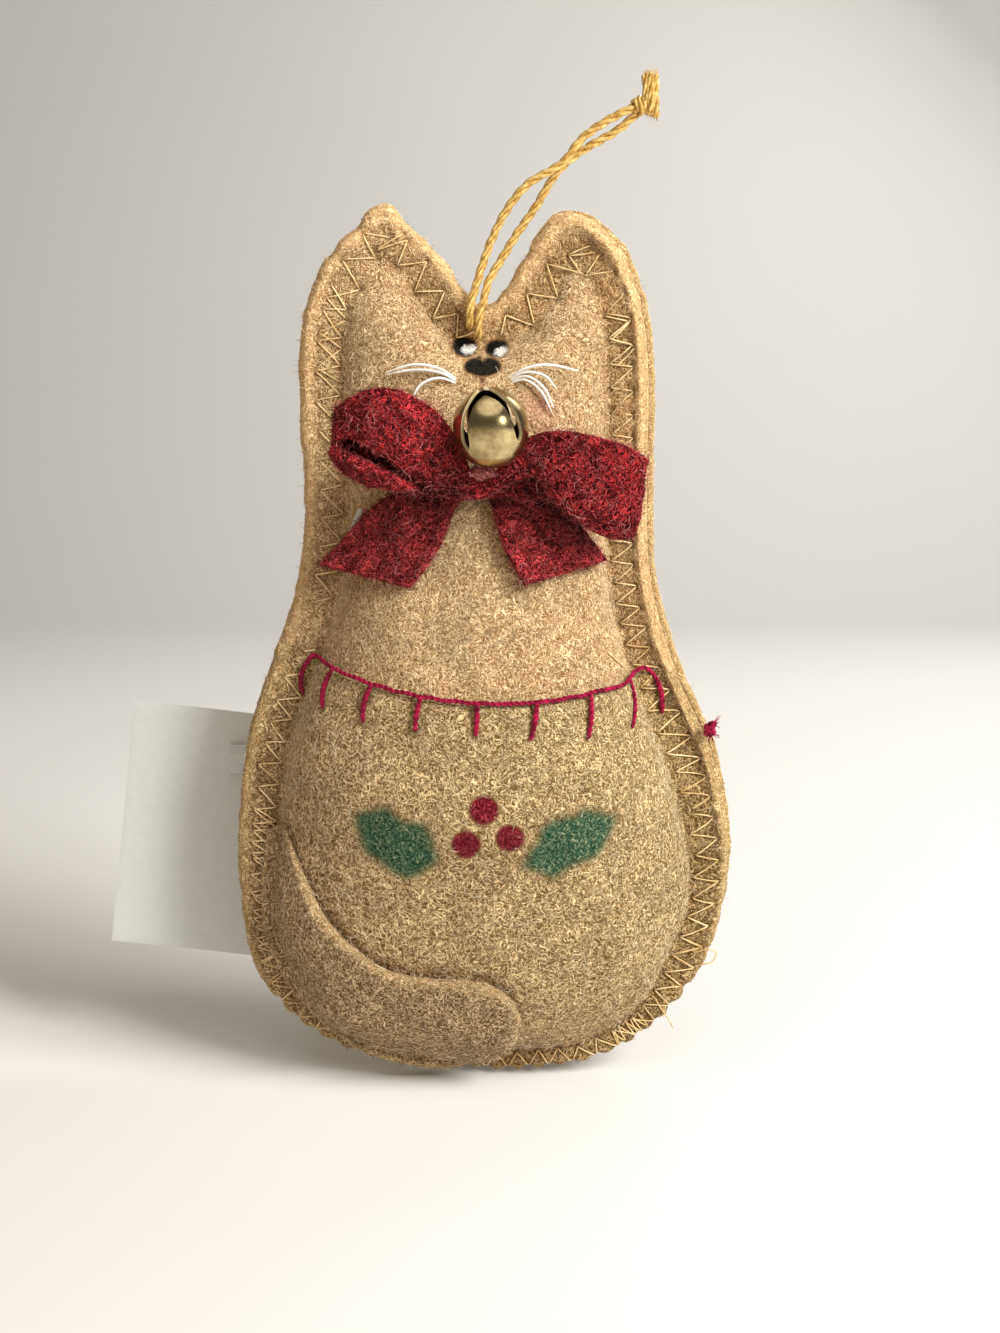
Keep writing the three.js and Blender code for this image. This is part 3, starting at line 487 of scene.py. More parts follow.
# hanging cord
cord = {
    "width": 0.9, "plump": 1.24, "plies": 3, "pitch": 6.0, "phase": {"left": 0.0, "right": 1.1}, "exit": 4,
    "left": [
        (-0.94, 2.9, -1.53), (-1.31, 2.75, -1.03), (-1.4, 1.15, -0.9), (-1.4, -1.15, -0.9),
        (-1.4, -3.05, -0.65),
        (-1.2, -3, 2.4), (-0.4, -2.5, 5), (0.4, -2.1, 7.6), (2, -1.8, 11.7), (4.2, -1.6, 15.7),
        (6.8, -1.5, 18.6),
        (10.3, -1.4, 20.6), (11.9, -1.3, 21.8), (14, -1, 24.5), (17.3, -0.8, 26.9), (21.1, -0.5, 28.9),
    ],
    "right": [
        (-0.76, 2.9, -1.77), (-0.39, 2.75, -2.27), (-0.3, 1.15, -2.4), (-0.3, -1.15, -2.4),
        (-0.3, -3.05, -2.15),
        (0, -3.2, 0.6), (0.6, -2.6, 2.8), (1.2, -1.6, 5.2), (3.1, -0.7, 8.5), (5.2, -0.3, 11.9),
        (7.7, 0, 15.4),
        (9.8, 0.1, 18.9), (11.3, 0.1, 20.9), (13.4, 0.1, 22.6), (16, 0.1, 24.2), (18.9, 0.2, 25.8),
        (21.7, 0.35, 28.1),
    ],
}


def cordYarn(route, phase=0.0):
    return twistedYarn(route, cord["plump"] / 2, cord["plies"], cord["pitch"], 8, phase)


for side, phase in cord["phase"].items():
    route = evenLine(cord[side], 0.16)
    strand = makePiece("cord_" + side, cordYarn(route, phase), goldCord, ["cord_strand_" + side])
    print("cord", side, "length", round(lineLength(route), 1), "mm")

knot = {
    "heart": (22.3, -0.1, 29.2), "along": (0.83, 0.05, 0.55), "turns": 2.6, "spread": 1.7, "radius": 0.78,
    "core": (-1.2, 1.0, 0.62), "frays": 9, "seed": 31,
    "ends": [
        [(23.0, -0.4, 28.4), (23.0, -0.9, 29.6), (22.95, -0.8, 31.4), (22.85, -0.6, 33.1)],
        [(23.6, -0.4, 28.0), (23.55, -1.1, 29.5), (23.55, -1.0, 31.4), (23.45, -0.8, 33.4)],
        [(24.3, -0.3, 27.7), (24.2, -0.8, 29.2), (24.15, -0.7, 31.2), (24.1, -0.5, 33.2)],
        [(22.7, 0.2, 29.0), (23.4, 0.5, 29.6), (24.1, 0.4, 31.0), (24.2, 0.3, 32.7)],
    ],
}
axis = unit(np.array(knot["along"]))
sideways = unit(np.cross(axis, (0, 1, 0)))
upwards = np.cross(sideways, axis)
turn = np.linspace(0, 2 * np.pi * knot["turns"], 110)[:, None]
wrap = np.array(knot["heart"]) + axis * (turn / turn[-1] - 0.5) * knot["spread"]
wrap = wrap + knot["radius"] * (np.cos(turn) * sideways + np.sin(turn) * upwards)
coreStart, coreEnd, coreRadius = knot["core"]
core = np.array(knot["heart"]) + axis * np.linspace(coreStart, coreEnd, 24)[:, None]
parts = [cordYarn(wrap), sweep(core, coreRadius, 10)]
parts += [cordYarn(evenLine(end, 0.16), 0.7 * k) for k, end in enumerate(knot["ends"])]
rng = np.random.default_rng(knot["seed"])
# frayed cut ends
for end, before in [(end[a], end[b]) for end in knot["ends"] for a, b in ((-1, -2), (0, 1))]:
    out = unit(np.array(end) - np.array(before))
    for k in range(knot["frays"]):
        root = np.array(end) + rng.normal(0, 0.16, 3)
        tip = root + out * rng.uniform(0.3, 0.9) + rng.normal(0, 0.22, 3)
        parts.append(sweep(np.linspace(root - out * 0.3, tip, 4), (0.05, 0.045, 0.04, 0.02), 5))
knotPiece = makePiece("cord_knot_wrap", joinParts(parts), goldCord, ["cord_knot"])
print("cord and knot made")

# outline of the cat, and fields over it
cat = {
    "felt": 2.0, "gap": 0.12, "frontCrown": 11.5, "backCrown": 8.0,
    "softness": 5.0, "seamHold": 0.9, "rounds": 420, "relax": 1.94,  # how the stuffed form is solved
    # share of the way round and degrees the rim rolls forward there
    "curl": [(0.045, 0), (0.075, 30), (0.12, 44), (0.25, 46), (0.28, 38), (0.31, 22), (0.34, 8), (0.37, 0)],
    "curlZone": 3.3, "curlDraw": 1.1,
    "right": [
        (0, 1.6), (2.6, 3), (6, 8), (9, 12.8), (11.4, 14.7), (15, 14.5), (19, 11.8), (21.6, 7.6), (23.8, 1),
        (24.7, -8.5), (24.7, -22), (25.1, -34), (26.8, -42.5), (30.1, -51.4), (34.2, -60.8), (36.2, -71),
        (36.4, -79.5), (34.8, -88), (31, -97), (24.6, -104.2), (15.5, -108.8), (6, -110.1), (-1.5, -109.9),
    ],
    "left": [
        (0, 1.6), (-2.4, 4.2), (-5.6, 8.8), (-8.6, 11.6), (-10.8, 13.8), (-12.9, 15.7), (-15.2, 15.0),
        (-17, 12.8),
        (-19.6, 10.6), (-22.4, 6.9), (-24.5, 1.5), (-25.2, -3.5), (-25.3, -14), (-24.9, -28), (-26.3, -37.5),
        (-29.6, -47.5), (-33.4, -58.7), (-35.2, -71), (-35.3, -82.5), (-33.4, -94), (-28, -101.8),
        (-18.5, -107.6),
        (-8, -109.7), (-1.5, -109.9),
    ],
    "tip": {"right": 4.5, "left": 5.3}, "cheek": {"right": 9.0, "left": 11.5},
    "ear": (14, 6), "neck": (0, -10), "spine": (0, -84), "earSpokes": 4, "bodySpokes": 22, "rimPoints": 4800,
}
sideSpokes = 2 * cat["earSpokes"] + cat["bodySpokes"]
fieldStep = 0.25
fieldX = np.arange(-42, 42.01, fieldStep)
fieldZ = np.arange(-117, 22.01, fieldStep)
gridX, gridZ = np.meshgrid(fieldX, fieldZ)


def spokeStart(side, i):
    i = np.asarray(i, float)
    ears, tip, cheek, last = cat["earSpokes"], cat["tip"][side], cat["cheek"][side], len(cat[side]) - 1
    at = cheek + (i - 2 * ears) / cat["bodySpokes"] * (last - cheek)
    at = np.where(i < 2 * ears, tip + (i / ears - 1) * (cheek - tip), at)
    at = np.where(i < ears, i / ears * tip, at)
    return smoothLine(cat[side], at)


def spokeEnd(side, i):
    i = np.asarray(i, float)[:, None]
    ears = cat["earSpokes"]
    neck, spine = np.array(cat["neck"], float), np.array(cat["spine"], float)
    ear = np.array(cat["ear"], float) * ((1 if side == "right" else -1), 1)
    down = neck + (spine - neck) * (i - 2 * ears) / cat["bodySpokes"]
    up = neck + (ear - neck) * (1 - np.abs(i / ears - 1))
    return np.where(i >= 2 * ears, down, up)


def rimPlaces(share):  # start and end of the spoke at a share of the way round, clockwise from the notch
    at = np.mod(share, 1.0) * 2 * sideSpokes
    onRight = at <= sideSpokes
    i = np.where(onRight, at, 2 * sideSpokes - at)
    return [np.where(onRight[:, None], end("right", i), end("left", i)) for end in (spokeStart, spokeEnd)]


rimShares = np.arange(cat["rimPoints"]) / cat["rimPoints"]
rimLine = rimPlaces(rimShares)[0]
rimTree = kdtree.KDTree(len(rimLine))
for k, (x, z) in enumerate(rimLine):
    rimTree.insert((x, 0, z), k)
rimTree.balance()
hits = [rimTree.find((x, 0, z))[1:] for z in fieldZ for x in fieldX]
nearest = np.array([hit[0] for hit in hits]).reshape(gridX.shape)
rimGap = np.array([hit[1] for hit in hits]).reshape(gridX.shape)
inside = np.zeros(gridX.shape, bool)
ax, az = rimLine.T
bx, bz = np.roll(rimLine, -1, axis=0).T
for k, z in enumerate(fieldZ):
    cross = (az > z) != (bz > z)
    at = ax[cross] + (z - az[cross]) / (bz[cross] - az[cross]) * (bx[cross] - ax[cross])
    inside[k] = (at[None, :] > fieldX[:, None]).sum(1) % 2 == 1
insetField = np.where(inside, rimGap, -rimGap)
shareField = rimShares[nearest]
outZ, outX = np.gradient(-insetField, fieldStep)


def sampled(field, x, z):
    fx = np.clip((x - fieldX[0]) / fieldStep, 0, len(fieldX) - 1.001)
    fz = np.clip((z - fieldZ[0]) / fieldStep, 0, len(fieldZ) - 1.001)
    i, j = fx.astype(int), fz.astype(int)
    u, v = fx - i, fz - j
    low = field[j, i] * (1 - u) + field[j, i + 1] * u
    return low * (1 - v) + (field[j + 1, i] * (1 - u) + field[j + 1, i + 1] * u) * v


def outwards(x, z):  # which way the nearest rim lies
    ox, oz = sampled(outX, x, z), sampled(outZ, x, z)
    size = np.maximum(np.hypot(ox, oz), 1e-6)
    return ox / size, oz / size


# zigzag seam: places are shares of the way round, clockwise from the notch
seam = {
    "outer": [
        (0, 2.6), (0.1, 3.0), (0.25, 3.1), (0.28, 2.4), (0.306, 1.8), (0.331, 1.3), (0.35, 1.1), (0.371, 1.1),
        (0.387, 0.8), (0.4, 0.4), (0.6, 0.4), (0.628, 1.2), (0.66, 1.8), (0.72, 2.2), (1, 2.4),
    ],
    "inner": [
        (0, 5.6), (0.1, 6.3), (0.218, 6.5), (0.25, 6.8), (0.28, 7.3), (0.306, 6.5), (0.331, 5.1), (0.35, 4.6),
        (0.371, 4.8), (0.387, 4.6), (0.405, 3.6), (0.42, 3.1), (0.44, 2.8), (0.56, 2.8), (0.6, 3.2),
        (0.628, 4.5),
        (0.66, 5.2), (0.7, 5.5), (1, 5.6),
    ],
    "pitch": [
        (0, 3.6), (0.13, 3.5), (0.16, 2.95), (0.24, 2.95), (0.27, 3.5), (0.33, 3.4), (0.4, 3.1), (0.6, 3.1),
        (0.7, 3.4), (0.78, 3.9), (1, 4.6),
    ],
    # first and last share, pitch, seed of each even run of stitches
    "runs": [(0.112, 0.905, 1.0, 21), (0.606, 0.688, 0.8, 22), (0.412, 0.432, 0.4, 23)],
    "jitter": (0.1, 0.14),  # along and across the run
    # holes of the uneven stitches on the ears, each thread in turn
    "ears": [
        [(2.9, -2.3), (3.6, 0.7), (7.6, -0.8), (6.5, 3.7), (10.9, 3.0), (9.3, 7.7), (14.0, 6.4), (12.4, 8.8),
         (16.1, 9.3)],
        [(12.3, 8.9), (15.4, 10.2)],
        [(16.6, 9.0), (14.7, 6.1), (19.0, 6.7), (16.2, 4.0), (20.6, 4.2), (17.6, 0.9), (21.5, 0.3),
         (18.4, -2.7),
         (22.0, -3.6), (18.9, -6.6)],
        [(-0.9, -1.6), (-3.3, -2.4), (-3.0, 0.9), (-6.6, 0.2), (-4.9, 4.0), (-9.1, 3.9), (-7.4, 8.0),
         (-11.5, 7.5),
         (-10.1, 10.9), (-14.4, 9.5), (-10.6, 11.8)],
        [(-12.6, 11.3), (-16.3, 11.9), (-14.5, 8.5), (-19.2, 8.3), (-16.8, 4.2), (-21.4, 3.1), (-18.5, 0.0),
         (-22.7, -1.7), (-19.4, -4.0), (-22.9, -6.6), (-19.6, -8.6)],
    ],
    "stray": [(17.9, -46.1), (20.9, -49.2)],
    # loose thread at the end of the seam, at the bottom right
    "loose": [
        [(22.6, -0.6, -97.6), (25.3, -1.6, -98.4), (26.8, -1.9, -100.6), (27.9, -1.7, -102.2),
         (28.6, -1.4, -103.6)],
        [(30.6, -1.0, -92.2), (32.3, -1.6, -91.7), (33.3, -1.9, -91.3), (34.7, -1.8, -91.7),
         (34.2, -1.6, -93.3),
         (33.1, -1.4, -93.7), (31.6, -0.9, -94.2)],
    ],
    "thread": 0.22, "sink": 0.5, "arch": 0.1, "slack": 0.06, "seed": 77,
    "wrap": 0.7,  # nearer the rim than this, the thread goes round it
    # depth and size of the dents at a hole, under a thread and in the rim
    "holeDents": ((0.6, 0.42), (0.2, 1.1)), "threadDent": (0.16, 0.4), "press": 0.34,
    "rimDents": {"wrapped": (0.65, 0.95), "ear": (0.25, 0.95), "body": (0.05, 0.95)},
}


def stuffedRelief(coarse=2):  # membrane held at the seam and blown up, 0 at the seam and 1 at its fullest
    step = fieldStep * coarse
    free = (insetField > along(seam["inner"], shareField) + cat["seamHold"])[::coarse, ::coarse]
    depth = np.zeros(free.shape)
    rows, columns = np.indices(free.shape)
    boards = [free & ((rows + columns) % 2 == k) for k in (0, 1)]
    for k in range(cat["rounds"]):
        for board in boards:
            around = np.zeros(free.shape)
            around[1:-1, 1:-1] = depth[:-2, 1:-1] + depth[2:, 1:-1] + depth[1:-1, :-2] + depth[1:-1, 2:]
            depth[board] += cat["relax"] * ((around[board] + step**2) / 4 - depth[board])
    swell = np.sqrt(2 * depth + cat["softness"] ** 2) - cat["softness"]
    swell /= swell.max()
    x, z = np.arange(len(fieldX)) / coarse, np.arange(len(fieldZ)) / coarse
    across = np.stack([np.interp(x, np.arange(swell.shape[1]), row) for row in swell])
    return np.stack([np.interp(z, np.arange(swell.shape[0]), column) for column in across.T], -1)


reliefField = stuffedRelief()


def softNoise(size, seed):  # even noise over the field, its lumps about size mm across
    values = np.random.default_rng(seed).standard_normal(insetField.shape)
    fz = np.fft.fftfreq(values.shape[0], fieldStep)[:, None]
    fx = np.fft.rfftfreq(values.shape[1], fieldStep)[None]
    keep = np.exp(-0.5 * (np.pi * size) ** 2 * (fx**2 + fz**2))
    soft = np.fft.irfft2(np.fft.rfft2(values) * keep, values.shape)
    return soft / soft.std()


# faces of the panels, as y over x and z
belly = {
    "low": -52.4, "middle": 4.0, "bend": 0.0066, "overlap": 8.0, "fade": (6, 20),
    "lap": 3.2, "lapRim": (3.5, 9.0), "chestThin": 0.94, "bellyThin": 0.92,
}


def bellyEdge(x):
    return belly["low"] + belly["bend"] * (x - belly["middle"]) ** 2


def lapped(x, z):  # where both are sewn into the rim, the chest felt thins out under the belly felt
    inRim = 1 - smoothStep(sampled(insetField, x, z), *belly["lapRim"])
    under = smoothStep(bellyEdge(x) - z, 0.0, belly["lap"])
    return belly["chestThin"] * inRim * under, belly["bellyThin"] * inRim * (1 - under)


def chestInner(x, z):
    return -(cat["gap"] / 2 + cat["frontCrown"] * sampled(reliefField, x, z))


def chestOuter(x, z):
    return chestInner(x, z) - cat["felt"] * (1 - lapped(x, z)[0])


def backInner(x, z):
    return cat["gap"] / 2 + cat["backCrown"] * sampled(reliefField, x, z)


def backOuter(x, z):
    return backInner(x, z) + cat["felt"]


def bellyInner(x, z):
    below = bellyEdge(x) - z - belly["overlap"]
    lift = (cat["felt"] + cat["gap"]) * (1 - smoothStep(below, *belly["fade"]))
    return chestInner(x, z) - lift * (1 - lapped(x, z)[0])


def bellyOuter(x, z):
    return bellyInner(x, z) - cat["felt"] * (1 - lapped(x, z)[1])


def frontFace(x, z):
    return np.where(z > bellyEdge(x), chestOuter(x, z), bellyOuter(x, z))


def onChest(x, off, z):  # a point off the chest felt
    return (x, float(chestOuter(np.array([x], float), np.array([z], float))[0]) - off, z)


def rolled(x, y, z):  # the right rim rolls forward
    i = np.clip(((x - fieldX[0]) / fieldStep).round().astype(int), 0, len(fieldX) - 1)
    j = np.clip(((z - fieldZ[0]) / fieldStep).round().astype(int), 0, len(fieldZ) - 1)
    bend = np.maximum(np.radians(along(cat["curl"], shareField[j, i])), 1e-4) / cat["curlZone"]
    u = np.clip(cat["curlZone"] - sampled(insetField, x, z), 0, None)
    turn = bend * u
    move = np.sin(turn) / bend + y * np.sin(turn) - u - cat["curlDraw"] * np.sin(turn) ** 2
    ox, oz = outwards(x, z)
    return np.stack([x + ox * move, y * np.cos(turn) - (1 - np.cos(turn)) / bend, z + oz * move], -1)


print("outline and fields ready")


# needle holes and what the stitches do to the felt
def spokeDepths(start, end):  # distance in from the rim at places along each spoke
    reach = np.linspace(0, 0.8, 160)
    line = start[:, None] + (end - start)[:, None] * reach[None, :, None]
    return reach, np.maximum.accumulate(sampled(insetField, line[..., 0], line[..., 1]), axis=1)


def insetPlaces(share, distance):  # points a given distance in from the rim
    start, end = rimPlaces(share)
    reach, depth = spokeDepths(start, end)
    at = np.array([np.interp(w, d + reach * 1e-6, reach) for d, w in zip(depth, distance)])
    return start + (end - start) * at[:, None]


def needleHoles(first, last, tight, seed):  # inner and outer holes in turn
    share = np.linspace(first, last, 2400)
    outer, inner = along(seam["outer"], share), along(seam["inner"], share)
    middle = insetPlaces(share, (outer + inner) / 2)
    run = runAlong(middle)
    run += np.arange(len(run)) * 1e-7
    tangent, normal = unit(np.gradient(middle, run, axis=0)), np.stack(outwards(*middle.T), -1)
    pitch = along(seam["pitch"], share) * tight
    phase = np.concatenate([[0], np.cumsum(np.diff(run) / pitch[1:])])
    at = np.interp(np.arange(int(phase[-1])) + 0.3, phase, run)

    def read(values, place):
        if values.ndim == 1:
            return np.interp(place, run, values)
        return np.stack([np.interp(place, run, values[:, k]) for k in (0, 1)], -1)

    half = (inner - outer) / 2
    step, rise, lean = read(pitch, at), read(tangent, at)[:, 1], read(normal, at)[:, 1]
    rising = np.where(np.abs(rise) < 0.05, 0.05, rise)
    # brings the outer hole level with the inner one
    shift = (-2 * read(half, at) * lean - 0.14 * step) / rising
    shift = np.clip(np.where(rising > 0, step + shift, shift), 0.12 * step, 0.88 * step)
    level = smoothStep(np.abs(rise), 0.15, 0.6)
    shift = level * shift + (1 - level) * 0.5 * step
    rng = np.random.default_rng(seed)
    places = np.stack([at, at + shift], -1).ravel() + rng.normal(0, seam["jitter"][0], 2 * len(at))
    side = np.tile([-1.0, 1.0], len(at))
    across = side * read(half, places) + rng.normal(0, seam["jitter"][1], len(places))
    holes = read(middle, places) + unit(read(normal, places)) * across[:, None]
    wraps = (side > 0) & (along(seam["outer"], read(share, places)) < seam["wrap"])
    return holes, side > 0, wraps


def placedHoles(places):
    places = np.array(places, float)
    inset = sampled(insetField, *places.T)
    return places, inset < inset.mean(), np.zeros(len(places), bool)


seamRuns = [needleHoles(*run) for run in seam["runs"]] + [placedHoles(ear) for ear in seam["ears"]]


def stamp(field, place, reach, *dents):  # dents, each a depth and a size, pressed into a field at one place
    i, j = (int((p - line[0]) / fieldStep) for p, line in zip(place, (fieldX, fieldZ)))
    r = int(reach / fieldStep) + 1
    s = slice(max(j - r, 0), j + r + 1), slice(max(i - r, 0), i + r + 1)
    gap2 = (gridX[s] - place[0]) ** 2 + (gridZ[s] - place[1]) ** 2
    field[s] = np.maximum(field[s], sum(deep * np.exp(-gap2 / size**2) for deep, size in dents))


dentField = np.zeros(insetField.shape)  # how deep the stitches pull the felt in
for holes, outer, wraps in seamRuns:
    for place in holes:
        stamp(dentField, place, 2, *seam["holeDents"])
    for a, b in zip(holes[:-1], holes[1:]):
        for t in np.linspace(0.1, 0.9, 12):
            stamp(dentField, a + (b - a) * t, 1.2, seam["threadDent"])
rimPull = np.zeros(insetField.shape)  # how far each outer stitch draws the rim in
for holes, outer, wraps in seamRuns[:1] + seamRuns[3:]:
    rims = holes + np.stack(outwards(*holes.T), -1) * sampled(insetField, *holes.T)[:, None]
    for place, wrapped in zip(rims[outer], wraps[outer]):
        kind = "wrapped" if wrapped else "ear" if place[1] > 0 else "body"
        stamp(rimPull, place, 5, seam["rimDents"][kind])
bandOuter, bandInner = along(seam["outer"], shareField), along(seam["inner"], shareField)
pressField = smoothStep(insetField - bandOuter, -1.5, 0.9)
pressField = pressField * (1 - smoothStep(insetField - bandInner, -0.4, 1.3))
lumps, pile, grain = softNoise(5.0, 3), softNoise(1.3, 4), softNoise(0.6, 5)


def feltBumps(x, z, shift=0.0):  # unevenness of the felt's face
    x = x + shift
    return 0.13 * sampled(lumps, x, z) + 0.05 * sampled(pile, x, z) + 0.028 * sampled(grain, x, z)


def stitchDents(x, z):
    return sampled(dentField, x, z) + seam["press"] * sampled(pressField, x, z)


print("needle holes:", sum(len(run[0]) for run in seamRuns))

# painted face and holly
paint = {
    "leaves": [
        [(-17.9, -68.0), (-15.6, -67.5), (-12.8, -66.7), (-10.8, -68.6), (-7.7, -69.0), (-6.6, -70.6),
         (-6.2, -73.0),
         (-5.5, -74.6), (-8.6, -77.0), (-10.4, -77.6), (-12.3, -76.8), (-14.6, -74.9), (-16.3, -73.9),
         (-17.1, -71.6)],
        [(19.4, -68.7), (18.8, -70.6), (17.7, -73.0), (16.5, -74.7), (13.1, -75.8), (11.5, -76.7),
         (10.0, -77.8),
         (8.5, -76.5), (5.7, -75.7), (6.8, -73.1), (8.0, -71.8), (8.4, -69.6), (10.6, -68.3), (13.0, -68.1),
         (14.6, -67.1), (16.8, -67.8)],
    ],
    # x, z, half width, half height, turn in degrees
    "berries": [(0.6, -67.0, 2.05, 2.05, 0), (-1.9, -72.0, 2.05, 2.05, 0), (4.2, -71.1, 2.0, 2.0, 0)],
    "eyes": [(-2.2, -3.7, 1.8, 1.42, -8), (2.45, -3.95, 1.65, 1.28, 6)],
    "nose": [
        (-0.75, -6.35, 1.45, 1.15, 12), (1.55, -6.35, 1.45, 1.15, -12), (0.4, -6.9, 1.9, 0.95, 0),
        (-0.1, -5.25, 0.3, 0.25, 0),
    ],
    "glints": [(-1.5, -4.0, 1.0, 0.66, 8), (2.95, -4.3, 0.98, 0.6, 22)],
    "mouth": [(0.35, -8.25, 0.3, 0.75, 10), (-0.5, -8.0, 0.16, 0.14, 0), (1.0, -8.7, 0.16, 0.14, 0)],
    "blush": [(8.4, -11.9, 3.0, 2.6, 0), (-8.0, -12.5, 2.6, 2.2, 0)], "blushInset": 1.6,
    "green": (0.026, 0.088, 0.052), "red": (0.155, 0.004, 0.018), "lips": (0.12, 0.026, 0.018),
    "black": (0.003, 0.003, 0.004), "white": (0.80, 0.78, 0.74), "rose": (0.60, 0.20, 0.15),
    "channelShade": (0.58, 0.50, 0.38),  # how much darker the felt is painted in the sewn channel: partly pressed felt, partly painted shade of the recess
}


def segmentGap(x, z, a, b):  # distance to the straight line from a to b
    ex, ez = b[0] - a[0], b[1] - a[1]
    t = np.clip(((x - a[0]) * ex + (z - a[1]) * ez) / (ex * ex + ez * ez), 0, 1)
    return np.hypot(x - a[0] - t * ex, z - a[1] - t * ez)


def lineGap(x, z, lines):  # distance to the nearest of some broken lines
    gap = np.full(len(x), 99.0)
    for line in lines:
        for a, b in zip(line[:-1], line[1:]):
            gap = np.minimum(gap, segmentGap(x, z, a, b))
    return gap


def insideLeaves(x, z):  # signed distance, positive inside
    signed = []
    for leaf in paint["leaves"]:
        within = np.zeros(x.shape, bool)
        for (px, pz), (qx, qz) in zip(leaf, leaf[1:] + leaf[:1]):
            if pz != qz:
                within ^= ((pz > z) != (qz > z)) & (x < px + (z - pz) / (qz - pz) * (qx - px))
        gap = lineGap(x, z, [leaf + leaf[:1]])
        signed.append(np.where(within, gap, -gap))
    return np.max(signed, axis=0)


def insideOval(x, z, ovals):
    best = np.full(x.shape, -9.0)
    for ox, oz, half, tall, turn in ovals:
        c, s = math.cos(math.radians(turn)), math.sin(math.radians(turn))
        u, v = (x - ox) * c + (z - oz) * s, (z - oz) * c - (x - ox) * s
        best = np.maximum(best, (1 - np.hypot(u / half, v / tall)) * min(half, tall))
    return best


# felt panels
grid = {
    "perSpoke": 12, "domeRings": 36, "edgeRound": 1.3, "seamRound": 0.25, "rimUneven": 0.07, "rimZone": 2.6,
    "insets": [
        0, 0.1, 0.25, 0.45, 0.75, 1.1, 1.5, 1.9, 2.3, 2.7, 3.1, 3.5, 3.9, 4.3, 4.7, 5.1, 5.5, 5.9, 6.3, 6.8,
        7.4,
    ],
    "bulge": 0.22, "bulgeUneven": 0.03, "wallAt": (0.33, 0.67),
    "seamShade": 0.8, "leftSeamLessShade": 0.55, "shadowLineWide": 0.8,  # painted shade in the seam channel, less of it on the left seam so that it is the paler one, and the width of the painted shadow lines
}


def flatCat():  # the outline filled with spokes and rings, as x and z
    i = np.linspace(0, sideSpokes, sideSpokes * grid["perSpoke"] + 1)
    dome = np.linspace(0, 1, grid["domeRings"] + 1)[1:]
    parts = []
    for side, order in (("right", i), ("left", i[-2:0:-1])):
        start, end = spokeStart(side, order), spokeEnd(side, order)
        reach, depth = spokeDepths(start, end)
        depth[:, 0] = 0
        at = np.stack([np.interp(grid["insets"], d + reach * 1e-3, reach) for d in depth])
        at = np.hstack([at, at[:, -1:] + (1 - at[:, -1:]) * dome[None]])
        parts.append(start[:, None] + (end - start)[:, None] * at[..., None])
    return np.concatenate(parts)


flatPlaces = flatCat()


def panelSheet(above, below):  # the flat cat cut along the belly panel's edge, moved down
    x, z = flatPlaces.reshape(-1, 2).T
    bm = bmesh.new()
    # straightens the edge for the cut
    corners = [bm.verts.new((u, 0, v)) for u, v in zip(x, z - bellyEdge(x))]
    for quad in ringQuads(*flatPlaces.shape[:2]):
        bm.faces.new([corners[k] for k in quad])
    bmesh.ops.remove_doubles(bm, verts=bm.verts, dist=1e-4)
    for level, way in ((above, -1), (below, 1)):
        if level is not None:
            bmesh.ops.bisect_plane(
                bm, geom=bm.verts[:] + bm.edges[:] + bm.faces[:], dist=1e-5, plane_co=(0, 0, level),
                plane_no=(0, 0, way), clear_outer=True,
            )
    bmesh.ops.triangulate(bm, faces=[f for f in bm.faces if len(f.verts) > 4])
    bm.verts.index_update()
    places = np.array([v.co for v in bm.verts])
    x, z = places[:, 0], places[:, 2] + bellyEdge(places[:, 0])
    rounds = [[v.index for v in f.verts] for f in bm.faces]
    quads, tris = (np.array([f for f in rounds if len(f) == n]).reshape(-1, n) for n in (4, 3))
    loops = [edge.link_loops[0] for edge in bm.edges if len(edge.link_faces) == 1]
    rim = np.array([(loop.vert.index, loop.link_loop_next.vert.index) for loop in loops])
    bm.free()
    return x, z, quads, tris, rim


def layPattern(piece, n, rim):  # flat pattern for the outer face, the inner face and the cut edge
    mesh = piece.data
    corner = np.zeros(len(mesh.loops), np.int32)
    mesh.loops.foreach_get("vertex_index", corner)
    co = pointsOf(piece) / mm
    place = np.stack([(co[:, 0] + 42) / 84 * 0.49, (co[:, 2] + 117) / 139 * 0.94], -1)
    place[n : 2 * n, 0] += 0.5
    uv = place[corner]
    walk = dict(rim)
    order = [rim[0][0]]
    while len(order) < len(rim):
        order.append(walk[order[-1]])
    turnOf = {v: k for k, v in enumerate(order)}
    perRow = len(order) // 3 + 1
    base = len(mesh.loops) - 3 * 4 * len(rim)
    for band in range(3):
        for k, (p, q) in enumerate(rim):
            row, at = divmod(turnOf[p], perRow)
            left, right = at / perRow, (at + 1) / perRow
            low = 0.945 + 0.018 * row + 0.005 * band
            first = base + (band * len(rim) + k) * 4
            uv[first : first + 4] = ((right, low), (left, low), (left, low + 0.005), (right, low + 0.005))
    layFlat(piece, uv)


